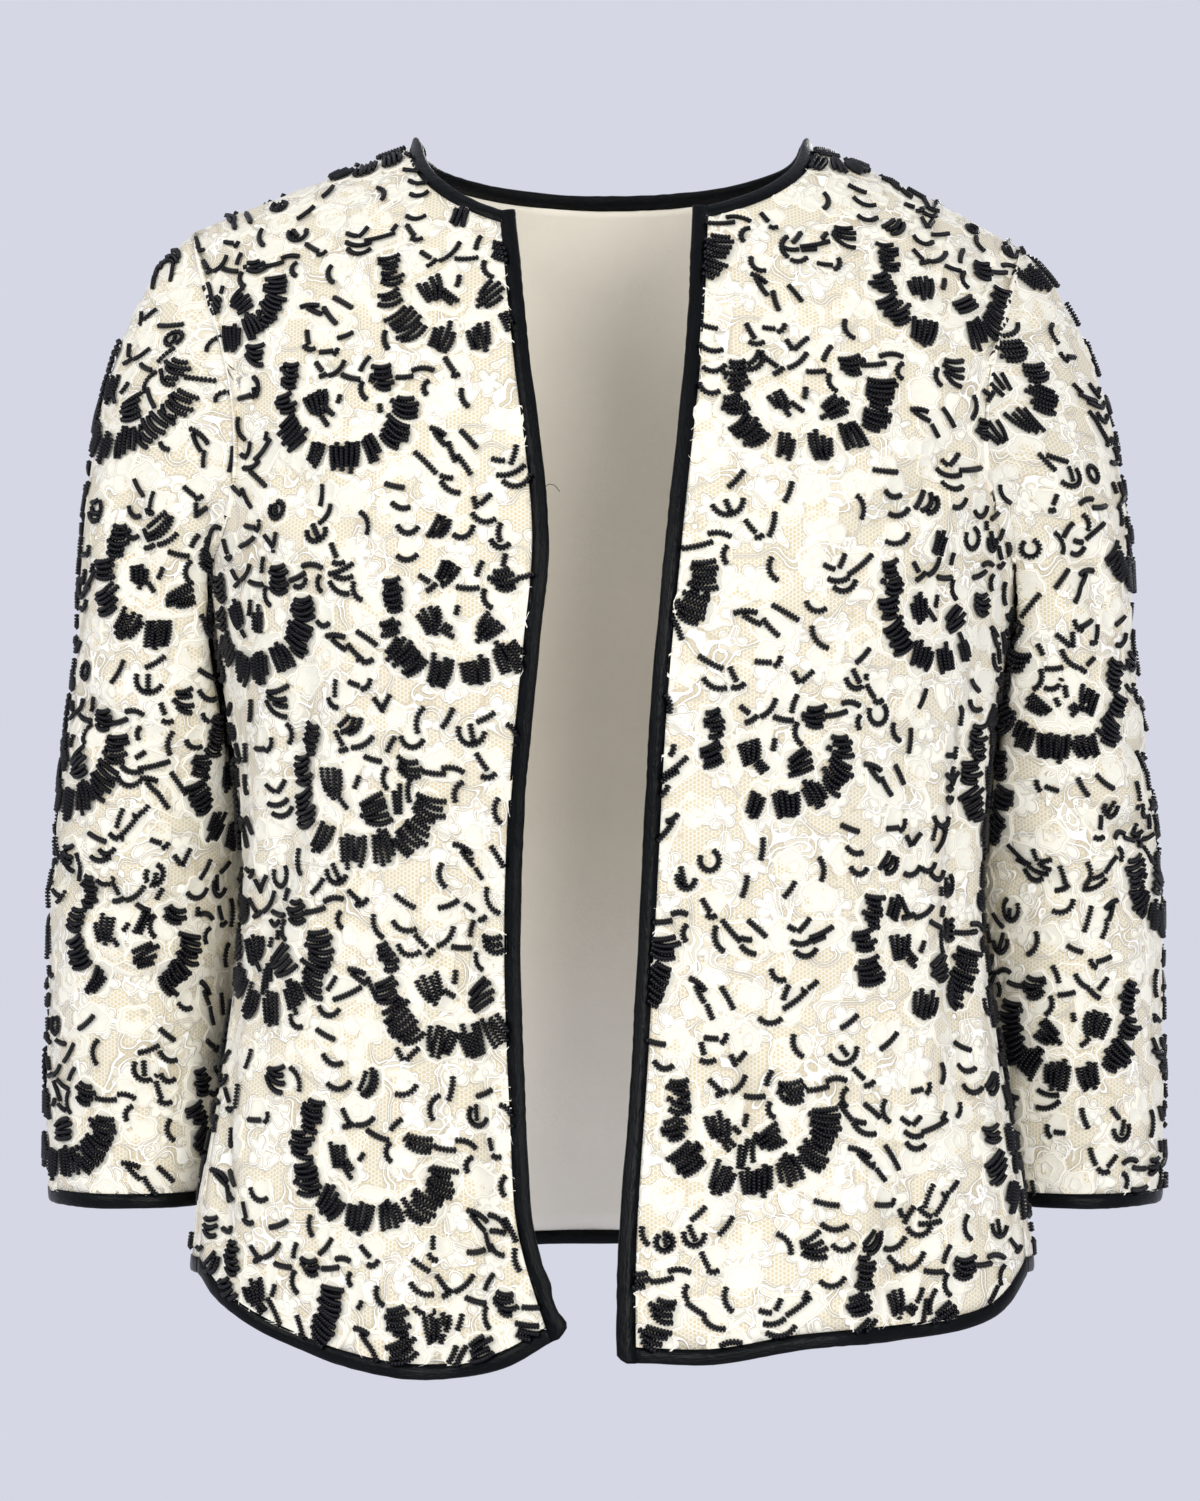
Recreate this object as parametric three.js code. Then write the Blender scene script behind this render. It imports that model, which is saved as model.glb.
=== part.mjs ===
import * as THREE from 'three';

// Beaded lace cardigan in its worn, hollow shape. Millimetres, +X to the wearer's left,
// -Y to the front, +Z up. The origin is the middle of the neck opening, level with the
// points where the shoulder seams meet the neck.

// Cloth and binding
const LACE_WALL = 1.2;
const LINING_WALL = 1.0;
const LINED_WALL = 2.2;
const SEAM_GAP = 0.3;
const BINDING_GAP = 0.4;
const BINDING_WIDTH = 5.5;
const BINDING_PROUD = 0.5;
const BINDING_ROUND = 1.2;
const EDGE_INSET = BINDING_WIDTH + BINDING_GAP;

// Body shape: a rounded section at each level
const CHEST_LEVEL = -205;
const SHOULDER_Y = 4;
const FRONT_SLOPE_POWER = 1.4;
const BACK_SLOPE_POWER = 2.1;
const BODY_SECTIONS = [
  { z: -560, half: 188.5, front: -129, back: 119, widest: -32, power: 2.3 },
  { z: -500, half: 186, front: -127, back: 118, widest: -30, power: 2.3 },
  { z: -465, half: 181.5, front: -124, back: 115, widest: -28, power: 2.3 },
  { z: -425, half: 174.5, front: -120, back: 110, widest: -25, power: 2.3 },
  { z: -385, half: 168, front: -118, back: 104, widest: -22, power: 2.3 },
  { z: -345, half: 164, front: -119, back: 100, widest: -18, power: 2.3 },
  { z: -310, half: 164.5, front: -122, back: 100, widest: -14, power: 2.3 },
  { z: -272, half: 168.5, front: -127, back: 104, widest: -9, power: 2.3 },
  { z: -235, half: 175, front: -131, back: 108, widest: -3, power: 2.3 },
  { z: CHEST_LEVEL, half: 180, front: -132, back: 110, widest: 0, power: 2.3 },
  { z: -150, half: 183, front: -132, back: 110, widest: 2, power: 2.5 },
  { z: -95, half: 188, front: -132, back: 110, widest: 3, power: 2.7 },
  { z: -35, half: 194, front: -132, back: 110, widest: SHOULDER_Y, power: 2.7 },
  { z: 30, half: 198, front: -132, back: 110, widest: SHOULDER_Y, power: 2.7 },
];

// Side seam: its angle round the body from the centre front
const SIDE_SEAM = [
  { z: -560, degrees: 70 },
  { z: -480, degrees: 74 },
  { z: -340, degrees: 86 },
  { z: CHEST_LEVEL, degrees: 90 },
];

// Neck and shoulders
const NECK_HALF_WIDTH = 84;
const BACK_NECK_DROP = 12;
const UNDERARM_Z = -197;
const ARMHOLE_FRONT = { upperZ: -90, upperDegrees: 50, lowerDegrees: 46 };
const ARMHOLE_BACK = { upperZ: -90, upperDegrees: 54, lowerDegrees: 50 };
const CHEST_ANGLE_BELOW_NECK = 27;
const CHEST_ANGLE_BELOW_SHOULDER = 44;
const ARMHOLE_SPREAD = 1.6;

// What differs between the wearer's left and right. The front edges and hems are the
// finished ones, at the outside of the binding; a hem's place is its share of the way
// from the front edge to the side seam.
const LEFT = {
  name: 'left', sign: 1, neckDrop: 37, slope: 0.33, bow: 0.0014, shoulderX: 183, sleeveShift: -3,
  frontEdge: [
    { z: -545, x: 3 }, { z: -482, x: 3 }, { z: -403, x: 8 }, { z: -327, x: 12 },
    { z: -251, x: 16 }, { z: -175, x: 23 }, { z: -100, x: 31 }, { z: -30, x: 35 }, { z: 0, x: 36 },
  ],
  hem: [
    { place: 0, z: -530 }, { place: 0.15, z: -531 }, { place: 0.32, z: -525 },
    { place: 0.6, z: -522 }, { place: 0.78, z: -517 }, { place: 0.92, z: -506 }, { place: 1, z: -500 },
  ],
  folds: [
    { x: 92, top: -330, bottom: -540, width: 22, depth: 3.5 },
    { x: 128, top: -400, bottom: -540, width: 18, depth: -3 },
    { x: 40, top: -420, bottom: -540, width: 20, depth: -2 },
  ],
};
const RIGHT = {
  name: 'right', sign: -1, neckDrop: 42, slope: 0.34, bow: 0.0003, shoulderX: 188, sleeveShift: 3,
  frontEdge: [
    { z: -545, x: 14 }, { z: -519, x: 20 }, { z: -495, x: 28 }, { z: -470, x: 34 }, { z: -441, x: 36 },
    { z: -360, x: 39 }, { z: -293, x: 37 }, { z: -230, x: 31 }, { z: -179, x: 27 },
    { z: -98, x: 36 }, { z: -38, x: 42 }, { z: 0, x: 45 },
  ],
  hem: [
    { place: 0, z: -521 }, { place: 0.12, z: -533 }, { place: 0.25, z: -538 },
    { place: 0.45, z: -533 }, { place: 0.62, z: -524 }, { place: 0.8, z: -512 },
    { place: 0.93, z: -503 }, { place: 1, z: -500 },
  ],
  folds: [
    { x: 66, top: -300, bottom: -540, width: 15, depth: -6 },
    { x: 92, top: -320, bottom: -540, width: 20, depth: 4 },
    { x: 135, top: -400, bottom: -540, width: 20, depth: -3 },
  ],
};
const BACK_HEM = [
  { place: -1, z: -500 }, { place: -0.5, z: -505 }, { place: 0, z: -507 },
  { place: 0.5, z: -505 }, { place: 1, z: -500 },
];
const BACK_FOLDS = [
  { x: -118, top: -330, bottom: -520, width: 22, depth: 4 },
  { x: -62, top: -300, bottom: -520, width: 24, depth: -4 },
  { x: -8, top: -360, bottom: -520, width: 26, depth: 3 },
  { x: 58, top: -300, bottom: -520, width: 24, depth: -4.5 },
  { x: 112, top: -340, bottom: -520, width: 22, depth: 4 },
];

// Sleeves: level rings below the armhole, then a cap that runs up to the armhole
const CAP_LEVEL = -215;
const CUFF_LEVEL = -477 + EDGE_INSET;
const SLEEVE_CLEARANCE = 6;
const CAP_RISE = 0.5;
const CAP_REACH = 0.18;
const CAP_IN_FRONT = 0.5;
const CAP_IN_BACK = 0.25;
const CAP_FALL = 0.08;
const SLEEVE_START = 0.9;
const SLEEVE_SECTIONS = [
  { z: CUFF_LEVEL - 10, x: 213, y: 36, halfX: 41, halfY: 48 },
  { z: -450, x: 212.5, y: 35, halfX: 42, halfY: 48.5 },
  { z: -400, x: 211, y: 31, halfX: 42.5, halfY: 50 },
  { z: -340, x: 208.5, y: 26, halfX: 43, halfY: 52 },
  { z: -295, x: 204, y: 21, halfX: 43, halfY: 53 },
  { z: -250, x: 198.5, y: 16, halfX: 42.5, halfY: 54 },
  { z: CAP_LEVEL, x: 195, y: 12, halfX: 42, halfY: 54 },
];

// How finely the pieces are divided
const FRONT_NECK_STEPS = 5;
const FRONT_SHOULDER_STEPS = 5;
const BACK_NECK_STEPS = 4;
const BACK_SHOULDER_STEPS = 4;
const ARMHOLE_STEPS = 9;
const FRONT_ROWS = 24;
const BACK_ROWS = 22;
const CAP_STEPS = 7;
const SLEEVE_STEPS = 10;
const FINE_STEPS = 90;
const CORNER_TRIES = 8;
const COLUMN_BEND = 1.5;
const ROW_CROWDING = 0.3;
const RIDGE_REACH = 60;
const SLEEVE_SOFTNESS = 4;
const INSIDE_RISE = 60;

const RADIAN = Math.PI / 180;
const LACE_COLOUR = '#f6f0e0';
const LINING_COLOUR = '#eadfc6';
const SATIN_COLOUR = '#0b0d10';

// A smooth curve through the rows of a table, read at one value of its first column
function lookUp(table, key, column, value) {
  const last = table.length - 1;
  let i = 0;
  while (i < last - 1 && value > table[i + 1][key]) {
    i += 1;
  }
  const slopeAt = (k) => {
    const before = table[Math.max(k - 1, 0)];
    const after = table[Math.min(k + 1, last)];
    return (after[column] - before[column]) / (after[key] - before[key]);
  };
  const a = table[i];
  const b = table[i + 1];
  const step = b[key] - a[key];
  const t = THREE.MathUtils.clamp((value - a[key]) / step, 0, 1);
  const bend = t * t * (3 - 2 * t);
  const leave = t * (1 - t) * (1 - t) * step * slopeAt(i);
  const arrive = -t * t * (1 - t) * step * slopeAt(i + 1);
  return a[column] + (b[column] - a[column]) * bend + leave + arrive;
}

const bodyAt = (column, z) => lookUp(BODY_SECTIONS, 'z', column, z);

// The height of the shoulder line, which rounds over at the middle of the neck
const shoulderHeight = (x, side) => {
  if (x < NECK_HALF_WIDTH) {
    return (side.slope * (NECK_HALF_WIDTH ** 2 - x ** 2)) / (2 * NECK_HALF_WIDTH);
  }
  const out = x - NECK_HALF_WIDTH;
  return -out * (side.slope + side.bow * out);
};

// A point of the body: angle 0 is the centre front, 90 the side and 180 the centre back
function bodyPoint(side, degrees, z) {
  const sine = Math.sin(degrees * RADIAN);
  const cosine = Math.cos(degrees * RADIAN);
  const power = bodyAt('power', z);
  const radius = (Math.abs(sine) ** power + Math.abs(cosine) ** power) ** (-1 / power);
  const x = bodyAt('half', z) * radius * sine;
  const widest = bodyAt('widest', z);
  const reach = cosine > 0 ? bodyAt('front', z) - widest : bodyAt('back', z) - widest;
  let y = widest + reach * radius * Math.abs(cosine);
  if (z > CHEST_LEVEL) {
    const rise = (z - CHEST_LEVEL) / (shoulderHeight(x, side) - CHEST_LEVEL);
    const slopePower = cosine > 0 ? FRONT_SLOPE_POWER : BACK_SLOPE_POWER;
    const lean = 1 - Math.sqrt(Math.max(0, 1 - Math.min(rise, 1) ** slopePower));
    y += (SHOULDER_Y - y) * lean;
  }
  return new THREE.Vector3(side.sign * x, y, z);
}

// The angle round the body at which a level reaches out to x
function angleAt(x, z, isBack) {
  const across = Math.min(x / bodyAt('half', z), 1);
  const power = bodyAt('power', z);
  const deep = (1 - across ** power) ** (1 / power);
  const degrees = Math.atan2(across, deep) / RADIAN;
  return isBack ? 180 - degrees : degrees;
}

// Steps along a path in (angle, height), measured on the body: even, or crowded to its end
function stepAlong(side, path, steps, crowding = 0) {
  const samples = [];
  let length = 0;
  let previous = null;
  for (let k = 0; k <= FINE_STEPS; k += 1) {
    const place = path(k / FINE_STEPS);
    const point = bodyPoint(side, place.degrees, place.z);
    length += previous ? point.distanceTo(previous) : 0;
    samples.push({ ...place, length });
    previous = point;
  }
  const result = [];
  for (let k = 0; k <= steps; k += 1) {
    const share = k / steps;
    const wanted = length * share * (1 + crowding * (1 - share));
    let i = 1;
    while (i < FINE_STEPS && samples[i].length < wanted) {
      i += 1;
    }
    const a = samples[i - 1];
    const b = samples[i];
    const t = THREE.MathUtils.clamp((wanted - a.length) / (b.length - a.length), 0, 1);
    result.push({
      degrees: THREE.MathUtils.lerp(a.degrees, b.degrees, t),
      z: THREE.MathUtils.lerp(a.z, b.z, t),
    });
  }
  return result;
}

const frontEdgeX = (side, z) => lookUp(side.frontEdge, 'z', 'x', z) + EDGE_INSET;

// The neckline of one half, from the centre to the shoulder seam
function necklinePath(side, isBack) {
  const half = NECK_HALF_WIDTH + EDGE_INSET;
  const top = shoulderHeight(half, side);
  const drop = EDGE_INSET + (isBack ? BACK_NECK_DROP : side.neckDrop);
  const heightAt = (x) => top - drop * Math.sqrt(1 - (x / half) ** 2);
  let start = isBack ? 0 : NECK_HALF_WIDTH / 2;
  for (let k = 0; k < CORNER_TRIES && !isBack; k += 1) {
    start = frontEdgeX(side, heightAt(start));
  }
  const turn = Math.acos(start / half);
  return (t) => {
    const x = half * Math.cos(turn * (1 - t));
    const z = top - drop * Math.sin(turn * (1 - t));
    return { degrees: angleAt(x, z, isBack), z };
  };
}

function shoulderPath(side, isBack) {
  return (t) => {
    const x = THREE.MathUtils.lerp(NECK_HALF_WIDTH + EDGE_INSET, side.shoulderX, t);
    const z = shoulderHeight(x, side);
    return { degrees: angleAt(x, z, isBack), z };
  };
}

function armholePath(side, isBack) {
  const shape = isBack ? ARMHOLE_BACK : ARMHOLE_FRONT;
  const topZ = shoulderHeight(side.shoulderX, side);
  const curve = new THREE.CubicBezierCurve(
    new THREE.Vector2(angleAt(side.shoulderX, topZ, false), topZ),
    new THREE.Vector2(shape.upperDegrees, shape.upperZ),
    new THREE.Vector2(shape.lowerDegrees, UNDERARM_Z),
    new THREE.Vector2(90, UNDERARM_Z),
  );
  return (t) => {
    const point = curve.getPoint(t);
    return { degrees: isBack ? 180 - point.x : point.x, z: point.y };
  };
}

const seamDegrees = (z) => lookUp(SIDE_SEAM, 'z', 'degrees', Math.min(z, CHEST_LEVEL));
const edgeDegrees = (side, z, isBack) => (isBack ? 180 : angleAt(frontEdgeX(side, z), z, false));

// The columns of half a body panel, from the front edge or centre back to the side seam.
// Each has its share of the way round and the place where it meets the panel's top edge.
function halfColumns(side, isBack) {
  const edge = edgeDegrees(side, CHEST_LEVEL, isBack);
  const chestAngles = [CHEST_ANGLE_BELOW_NECK, CHEST_ANGLE_BELOW_SHOULDER, 90].map(
    (degrees) => (isBack ? 180 - degrees : degrees),
  );
  const stretches = [
    { path: necklinePath(side, isBack), steps: isBack ? BACK_NECK_STEPS : FRONT_NECK_STEPS },
    { path: shoulderPath(side, isBack), steps: isBack ? BACK_SHOULDER_STEPS : FRONT_SHOULDER_STEPS },
    { path: armholePath(side, isBack), steps: ARMHOLE_STEPS },
  ];
  const columns = [];
  let from = edge;
  stretches.forEach((stretch, index) => {
    const to = chestAngles[index];
    const spread = index === 2 ? ARMHOLE_SPREAD : 1;
    stepAlong(side, stretch.path, stretch.steps).forEach((top, k) => {
      const degrees = THREE.MathUtils.lerp(from, to, (k / stretch.steps) ** spread);
      if (k > 0 || index === 0) {
        columns.push({ share: (degrees - edge) / (90 - edge), top });
      }
    });
    from = to;
  });
  return columns;
}

// A column's way up the body, from the hem to the panel's top edge
function columnPath(side, column, hemZ, isBack) {
  const baseAt = (z) => THREE.MathUtils.lerp(
    edgeDegrees(side, z, isBack),
    seamDegrees(z),
    column.share,
  );
  const { top } = column;
  const shift = top.degrees - baseAt(top.z);
  return (t) => {
    const z = THREE.MathUtils.lerp(hemZ, top.z, 1 - (1 - t) * (1 - t));
    const above = THREE.MathUtils.clamp((z - CHEST_LEVEL) / (top.z - CHEST_LEVEL), 0, 1);
    return { degrees: baseAt(z) + shift * above ** COLUMN_BEND, z };
  };
}

// How far the folds of a panel stand out at one of its points
function foldDepth(folds, x, z) {
  return folds.reduce((sum, fold) => {
    const fall = THREE.MathUtils.smoothstep(fold.top - z, 0, fold.top - fold.bottom);
    return sum + fold.depth * fall * Math.exp(-(((x - fold.x) / fold.width) ** 2));
  }, 0);
}

// The normals of a grid of points, facing away from the panel's inside
function gridNormals(points, wraps, inside) {
  const columns = points.length;
  const rows = points[0].length;
  return points.map((line, i) => line.map((point, j) => {
    const left = wraps ? points[(i + columns - 1) % columns][j] : points[Math.max(i - 1, 0)][j];
    const right = wraps ? points[(i + 1) % columns][j] : points[Math.min(i + 1, columns - 1)][j];
    const below = line[Math.max(j - 1, 0)];
    const above = line[Math.min(j + 1, rows - 1)];
    const across = right.clone().sub(left);
    const normal = above.clone().sub(below).cross(across).normalize();
    const outward = point.clone().sub(inside(point)).dot(normal) > 0;
    return outward ? normal : normal.negate();
  }));
}

const bodyAxis = (point) => new THREE.Vector3(0, SHOULDER_Y, Math.min(point.z, CHEST_LEVEL));

// The body's own normal at a place in (angle, height)
function bodyNormal(side, degrees, z) {
  const here = bodyPoint(side, degrees, z);
  const across = bodyPoint(side, degrees + 1, z - 1).sub(bodyPoint(side, degrees - 1, z - 1));
  const up = here.clone().sub(bodyPoint(side, degrees, z - 1));
  const normal = across.cross(up).normalize();
  return here.sub(bodyAxis(here)).dot(normal) > 0 ? normal : normal.negate();
}

// The columns of points of half a panel, with its folds, and what its seams need
function halfPanel(side, isBack) {
  const columns = halfColumns(side, isBack);
  const folds = isBack ? BACK_FOLDS : side.folds;
  const rows = isBack ? BACK_ROWS : FRONT_ROWS;
  const neckSteps = isBack ? BACK_NECK_STEPS : FRONT_NECK_STEPS;
  const shoulderEnd = neckSteps + (isBack ? BACK_SHOULDER_STEPS : FRONT_SHOULDER_STEPS);
  const places = columns.map((column) => {
    const hem = isBack
      ? lookUp(BACK_HEM, 'place', 'z', side.sign * column.share)
      : lookUp(side.hem, 'place', 'z', column.share);
    return stepAlong(side, columnPath(side, column, hem + EDGE_INSET, isBack), rows, ROW_CROWDING);
  });
  const bare = places.map((line) => line.map((place) => bodyPoint(side, place.degrees, place.z)));
  const smooth = places.map((line) => line.map((place) => bodyNormal(side, place.degrees, place.z)));
  const points = bare.map((line, i) => line.map((point, j) => {
    const x = isBack ? point.x : Math.abs(point.x);
    return point.clone().addScaledVector(smooth[i][j], foldDepth(folds, x, point.z));
  }));
  const flat = gridNormals(bare, false, bodyAxis);
  const folded = gridNormals(points, false, bodyAxis);
  const normals = smooth.map((line, i) => line.map(
    (normal, j) => normal.clone().add(folded[i][j]).sub(flat[i][j]).normalize(),
  ));
  return { side, places, points, normals, rows, neckSteps, shoulderEnd };
}

// Seam edges drawn back by half the gap, with normals that both panels at a seam share
function finishHalf(half) {
  const { side, places, points, normals, rows, neckSteps, shoulderEnd } = half;
  const last = points.length - 1;
  const ridge = new THREE.Vector3(side.sign * (side.slope + side.bow * RIDGE_REACH), 0, 1);
  ridge.normalize();
  for (let i = neckSteps; i <= shoulderEnd; i += 1) {
    normals[i][rows].copy(ridge);
    drawBack(points[i][rows], points[i][rows - 1]);
  }
  for (let j = 0; j <= rows; j += 1) {
    const place = places[last][j];
    normals[last][j].copy(bodyNormal(side, place.degrees, Math.min(place.z, UNDERARM_Z)));
    drawBack(points[last][j], points[last - 1][j]);
  }
  return half;
}

function drawBack(point, towards) {
  const step = towards.clone().sub(point).setLength(SEAM_GAP / 2);
  point.add(step);
}

// The back is cut in one piece, so its two halves share the centre column
function backPanel() {
  const halves = [RIGHT, LEFT].map((side) => finishHalf(halfPanel(side, true)));
  const [right, left] = halves;
  const points = [...[...right.points].reverse(), ...left.points.slice(1)];
  const normals = [...[...right.normals].reverse(), ...left.normals.slice(1)];
  return { points, normals, rows: BACK_ROWS, centre: right.points.length - 1, halves };
}

// The line where a sleeve is set in, from the shoulder round the front to the back, drawn
// away from the panels by the gap of the seam
function armholeLoop(front, back, side) {
  const half = side.sign > 0 ? back.halves[1] : back.halves[0];
  const shift = (i) => (side.sign > 0 ? back.centre + i : back.centre - i);
  const frontEdge = [];
  const backEdge = [];
  for (let k = 0; k <= ARMHOLE_STEPS; k += 1) {
    frontEdge.push(edgePoint(front, front.shoulderEnd + k, front.rows, -1, -1));
    backEdge.push(edgePoint(back, shift(half.shoulderEnd + k), back.rows, -side.sign, -1));
  }
  const loop = [...frontEdge, ...backEdge.slice(1, -1).reverse()];
  const meet = (a, b) => ({
    point: a.point.clone().lerp(b.point, 0.5),
    normal: a.normal.clone().add(b.normal).normalize(),
    inner: a.inner.clone().lerp(b.inner, 0.5),
  });
  loop[0] = meet(frontEdge[0], backEdge[0]);
  loop[ARMHOLE_STEPS] = meet(frontEdge[ARMHOLE_STEPS], backEdge[ARMHOLE_STEPS]);
  const sideways = new THREE.Vector3(side.sign, 0, 0);
  return edgeStations(loop, true).map(({ origin, out }, k) => {
    const turn = (Math.PI * k) / ARMHOLE_STEPS;
    const inwards = Math.sin(turn) * (Math.sin(turn) > 0 ? CAP_IN_FRONT : CAP_IN_BACK);
    const fall = side.slope * 0.5 * (1 + Math.cos(turn));
    return {
      point: origin.clone().addScaledVector(out, SEAM_GAP).addScaledVector(sideways, SLEEVE_START),
      way: new THREE.Vector3(side.sign, inwards, -fall).normalize(),
    };
  });
}

// A sleeve's level ring, held clear of the body's side
function sleeveRing(side, z) {
  const at = (column) => lookUp(SLEEVE_SECTIONS, 'z', column, z);
  const count = 2 * ARMHOLE_STEPS;
  return Array.from({ length: count }, (_, k) => {
    const turn = (2 * Math.PI * k) / count;
    const y = at('y') - at('halfY') * Math.sin(turn);
    const free = at('x') + side.sleeveShift + at('halfX') * Math.cos(turn);
    const widest = bodyAt('widest', z);
    const reach = y < widest ? widest - bodyAt('front', z) : bodyAt('back', z) - widest;
    const power = bodyAt('power', z);
    const deep = Math.min(Math.abs(y - widest) / reach, 1) ** power;
    const limit = bodyAt('half', z) * (1 - deep) ** (1 / power) + SLEEVE_CLEARANCE;
    const x = 0.5 * (free + limit + Math.hypot(free - limit, SLEEVE_SOFTNESS));
    return new THREE.Vector3(side.sign * x, y, z);
  });
}

function sleevePanel(side, loop) {
  const rings = [];
  for (let k = 0; k <= SLEEVE_STEPS; k += 1) {
    rings.push(sleeveRing(side, THREE.MathUtils.lerp(CUFF_LEVEL, CAP_LEVEL, k / SLEEVE_STEPS)));
  }
  const base = rings[SLEEVE_STEPS];
  const rulings = base.map((foot, k) => {
    const { point: head, way } = loop[k];
    const span = foot.distanceTo(head);
    const lift = foot.clone().add(new THREE.Vector3(0, 0, CAP_RISE * span));
    const reach = head.clone().addScaledVector(way, CAP_REACH * span);
    reach.z -= CAP_FALL * span;
    return new THREE.CubicBezierCurve3(foot, lift, reach, head);
  });
  for (let k = 1; k <= CAP_STEPS; k += 1) {
    rings.push(rulings.map((ruling) => ruling.getPoint(k / CAP_STEPS)));
  }
  const points = base.map((_, k) => rings.map((ring) => ring[k]));
  const inside = (point) => new THREE.Vector3(
    side.sign * (lookUp(SLEEVE_SECTIONS, 'z', 'x', Math.min(point.z, CAP_LEVEL)) + side.sleeveShift),
    lookUp(SLEEVE_SECTIONS, 'z', 'y', Math.min(point.z, CAP_LEVEL)),
    Math.min(point.z, CAP_LEVEL + INSIDE_RISE),
  );
  return { points, normals: gridNormals(points, true, inside) };
}

// A closed wall between two depths under a grid of points, cut across the shorter diagonals
function wallGeometry(panel, outerDepth, innerDepth, wraps) {
  const { points, normals } = panel;
  const columns = points.length;
  const rows = points[0].length;
  const vertices = [];
  [outerDepth, innerDepth].forEach((depth) => {
    points.forEach((line, i) => line.forEach((point, j) => {
      vertices.push(...point.clone().addScaledVector(normals[i][j], -depth).toArray());
    }));
  });
  const layer = columns * rows;
  const at = (i, j) => (i % columns) * rows + j;
  const faces = [];
  const rim = (a, b) => faces.push([b, a, a + layer], [b, a + layer, b + layer]);
  const steps = wraps ? columns : columns - 1;
  for (let i = 0; i < steps; i += 1) {
    for (let j = 0; j < rows - 1; j += 1) {
      const next = (i + 1) % columns;
      const corners = [at(i, j), at(i + 1, j), at(i + 1, j + 1), at(i, j + 1)];
      const [a, b, c, d] = corners;
      const [e, f, g, h] = corners.map((corner) => corner + layer);
      const rising = points[i][j].distanceTo(points[next][j + 1]);
      const falling = points[next][j].distanceTo(points[i][j + 1]);
      if (falling < rising) {
        faces.push([a, b, d], [b, c, d], [e, h, f], [f, h, g]);
      } else {
        faces.push([a, b, c], [a, c, d], [e, g, f], [e, h, g]);
      }
    }
    rim(at(i, 0), at(i + 1, 0));
    rim(at(i + 1, rows - 1), at(i, rows - 1));
  }
  for (let j = 0; j < rows - 1 && !wraps; j += 1) {
    rim(at(0, j + 1), at(0, j));
    rim(at(columns - 1, j), at(columns - 1, j + 1));
  }
  return solidGeometry(vertices, faces);
}

// A geometry whose faces all point out, whichever way round its faces were listed
function solidGeometry(vertices, faces) {
  const corner = (index) => new THREE.Vector3().fromArray(vertices, index * 3);
  const volume = faces.reduce(
    (sum, [a, b, c]) => sum + corner(a).dot(corner(b).cross(corner(c))),
    0,
  );
  const ordered = volume > 0 ? faces : faces.map(([a, b, c]) => [a, c, b]);
  const geometry = new THREE.BufferGeometry();
  geometry.setAttribute('position', new THREE.Float32BufferAttribute(vertices, 3));
  geometry.setIndex(ordered.flat());
  geometry.computeVertexNormals();
  return geometry;
}

// The folded binding: its section stands on the edge and rolls over outside it
function bindingSection(depth) {
  const near = BINDING_GAP;
  const far = EDGE_INSET;
  const top = BINDING_PROUD;
  const under = -depth - BINDING_PROUD;
  return [
    [near, top], [far - BINDING_ROUND, top], [far, top - BINDING_ROUND],
    [far, under + BINDING_ROUND], [far - BINDING_ROUND, under], [near, under],
  ];
}

function bindingGeometry(stations, depth, closes) {
  const section = bindingSection(depth);
  const sides = section.length;
  const vertices = [];
  stations.forEach(({ origin, out, normal }) => {
    section.forEach(([across, up]) => {
      const point = origin.clone().addScaledVector(out, across).addScaledVector(normal, up);
      vertices.push(...point.toArray());
    });
  });
  const faces = [];
  const count = stations.length;
  const at = (r, k) => (r % count) * sides + (k % sides);
  for (let r = 0; r < (closes ? count : count - 1); r += 1) {
    for (let k = 0; k < sides; k += 1) {
      faces.push([at(r, k), at(r, k + 1), at(r + 1, k + 1)], [at(r, k), at(r + 1, k + 1), at(r + 1, k)]);
    }
  }
  for (let k = 1; k < sides - 1 && !closes; k += 1) {
    faces.push([0, k + 1, k]);
    faces.push([at(count - 1, 0), at(count - 1, k), at(count - 1, k + 1)]);
  }
  return solidGeometry(vertices, faces);
}

// Stations along an edge: origin, the way out of the cloth, and the cloth's normal. At the
// ends the way out follows the edge next to it, so that two bindings meet with one gap.
function edgeStations(edge, closes, ends = {}) {
  const last = edge.length - 1;
  return edge.map(({ point, normal, inner }, k) => {
    const before = closes ? edge[(k + last) % (last + 1)] : edge[Math.max(k - 1, 0)];
    const after = closes ? edge[(k + 1) % (last + 1)] : edge[Math.min(k + 1, last)];
    const along = after.point.clone().sub(before.point).normalize();
    let out = along.clone().cross(normal).normalize();
    if (out.dot(point.clone().sub(inner)) < 0) {
      out.negate();
    }
    const follow = (k === 0 && ends.first) || (k === last && ends.last);
    if (follow && !closes) {
      const way = follow.clone().normalize();
      out = way.divideScalar(way.clone().cross(along).length());
    }
    return { origin: point, out, normal };
  });
}

const edgePoint = (panel, i, j, di, dj) => ({
  point: panel.points[i][j],
  normal: panel.normals[i][j],
  inner: panel.points[i + di][j + dj],
});

function frontBindings(front) {
  const last = front.points.length - 1;
  const hemEdge = front.points.map((_, i) => edgePoint(front, i, 0, 0, 1));
  const lead = front.points[0].map((_, j) => edgePoint(front, 0, j, 1, 0));
  const down = lead[0].point.clone().sub(lead[1].point);
  const up = lead[front.rows].point.clone().sub(lead[front.rows - 1].point);
  const sideDown = front.points[last][0].clone().sub(front.points[last][1]);
  const stretch = (end, way) => ({
    ...end,
    point: end.point.clone().add(way.clone().setLength(EDGE_INSET)),
    inner: end.inner.clone().add(way.clone().setLength(EDGE_INSET)),
  });
  const leadEdge = [stretch(lead[0], down), ...lead.slice(1, -1), stretch(lead[front.rows], up)];
  return {
    lead: edgeStations(leadEdge, false),
    hem: edgeStations(hemEdge, false, { first: down, last: sideDown }),
    up,
  };
}

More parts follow.
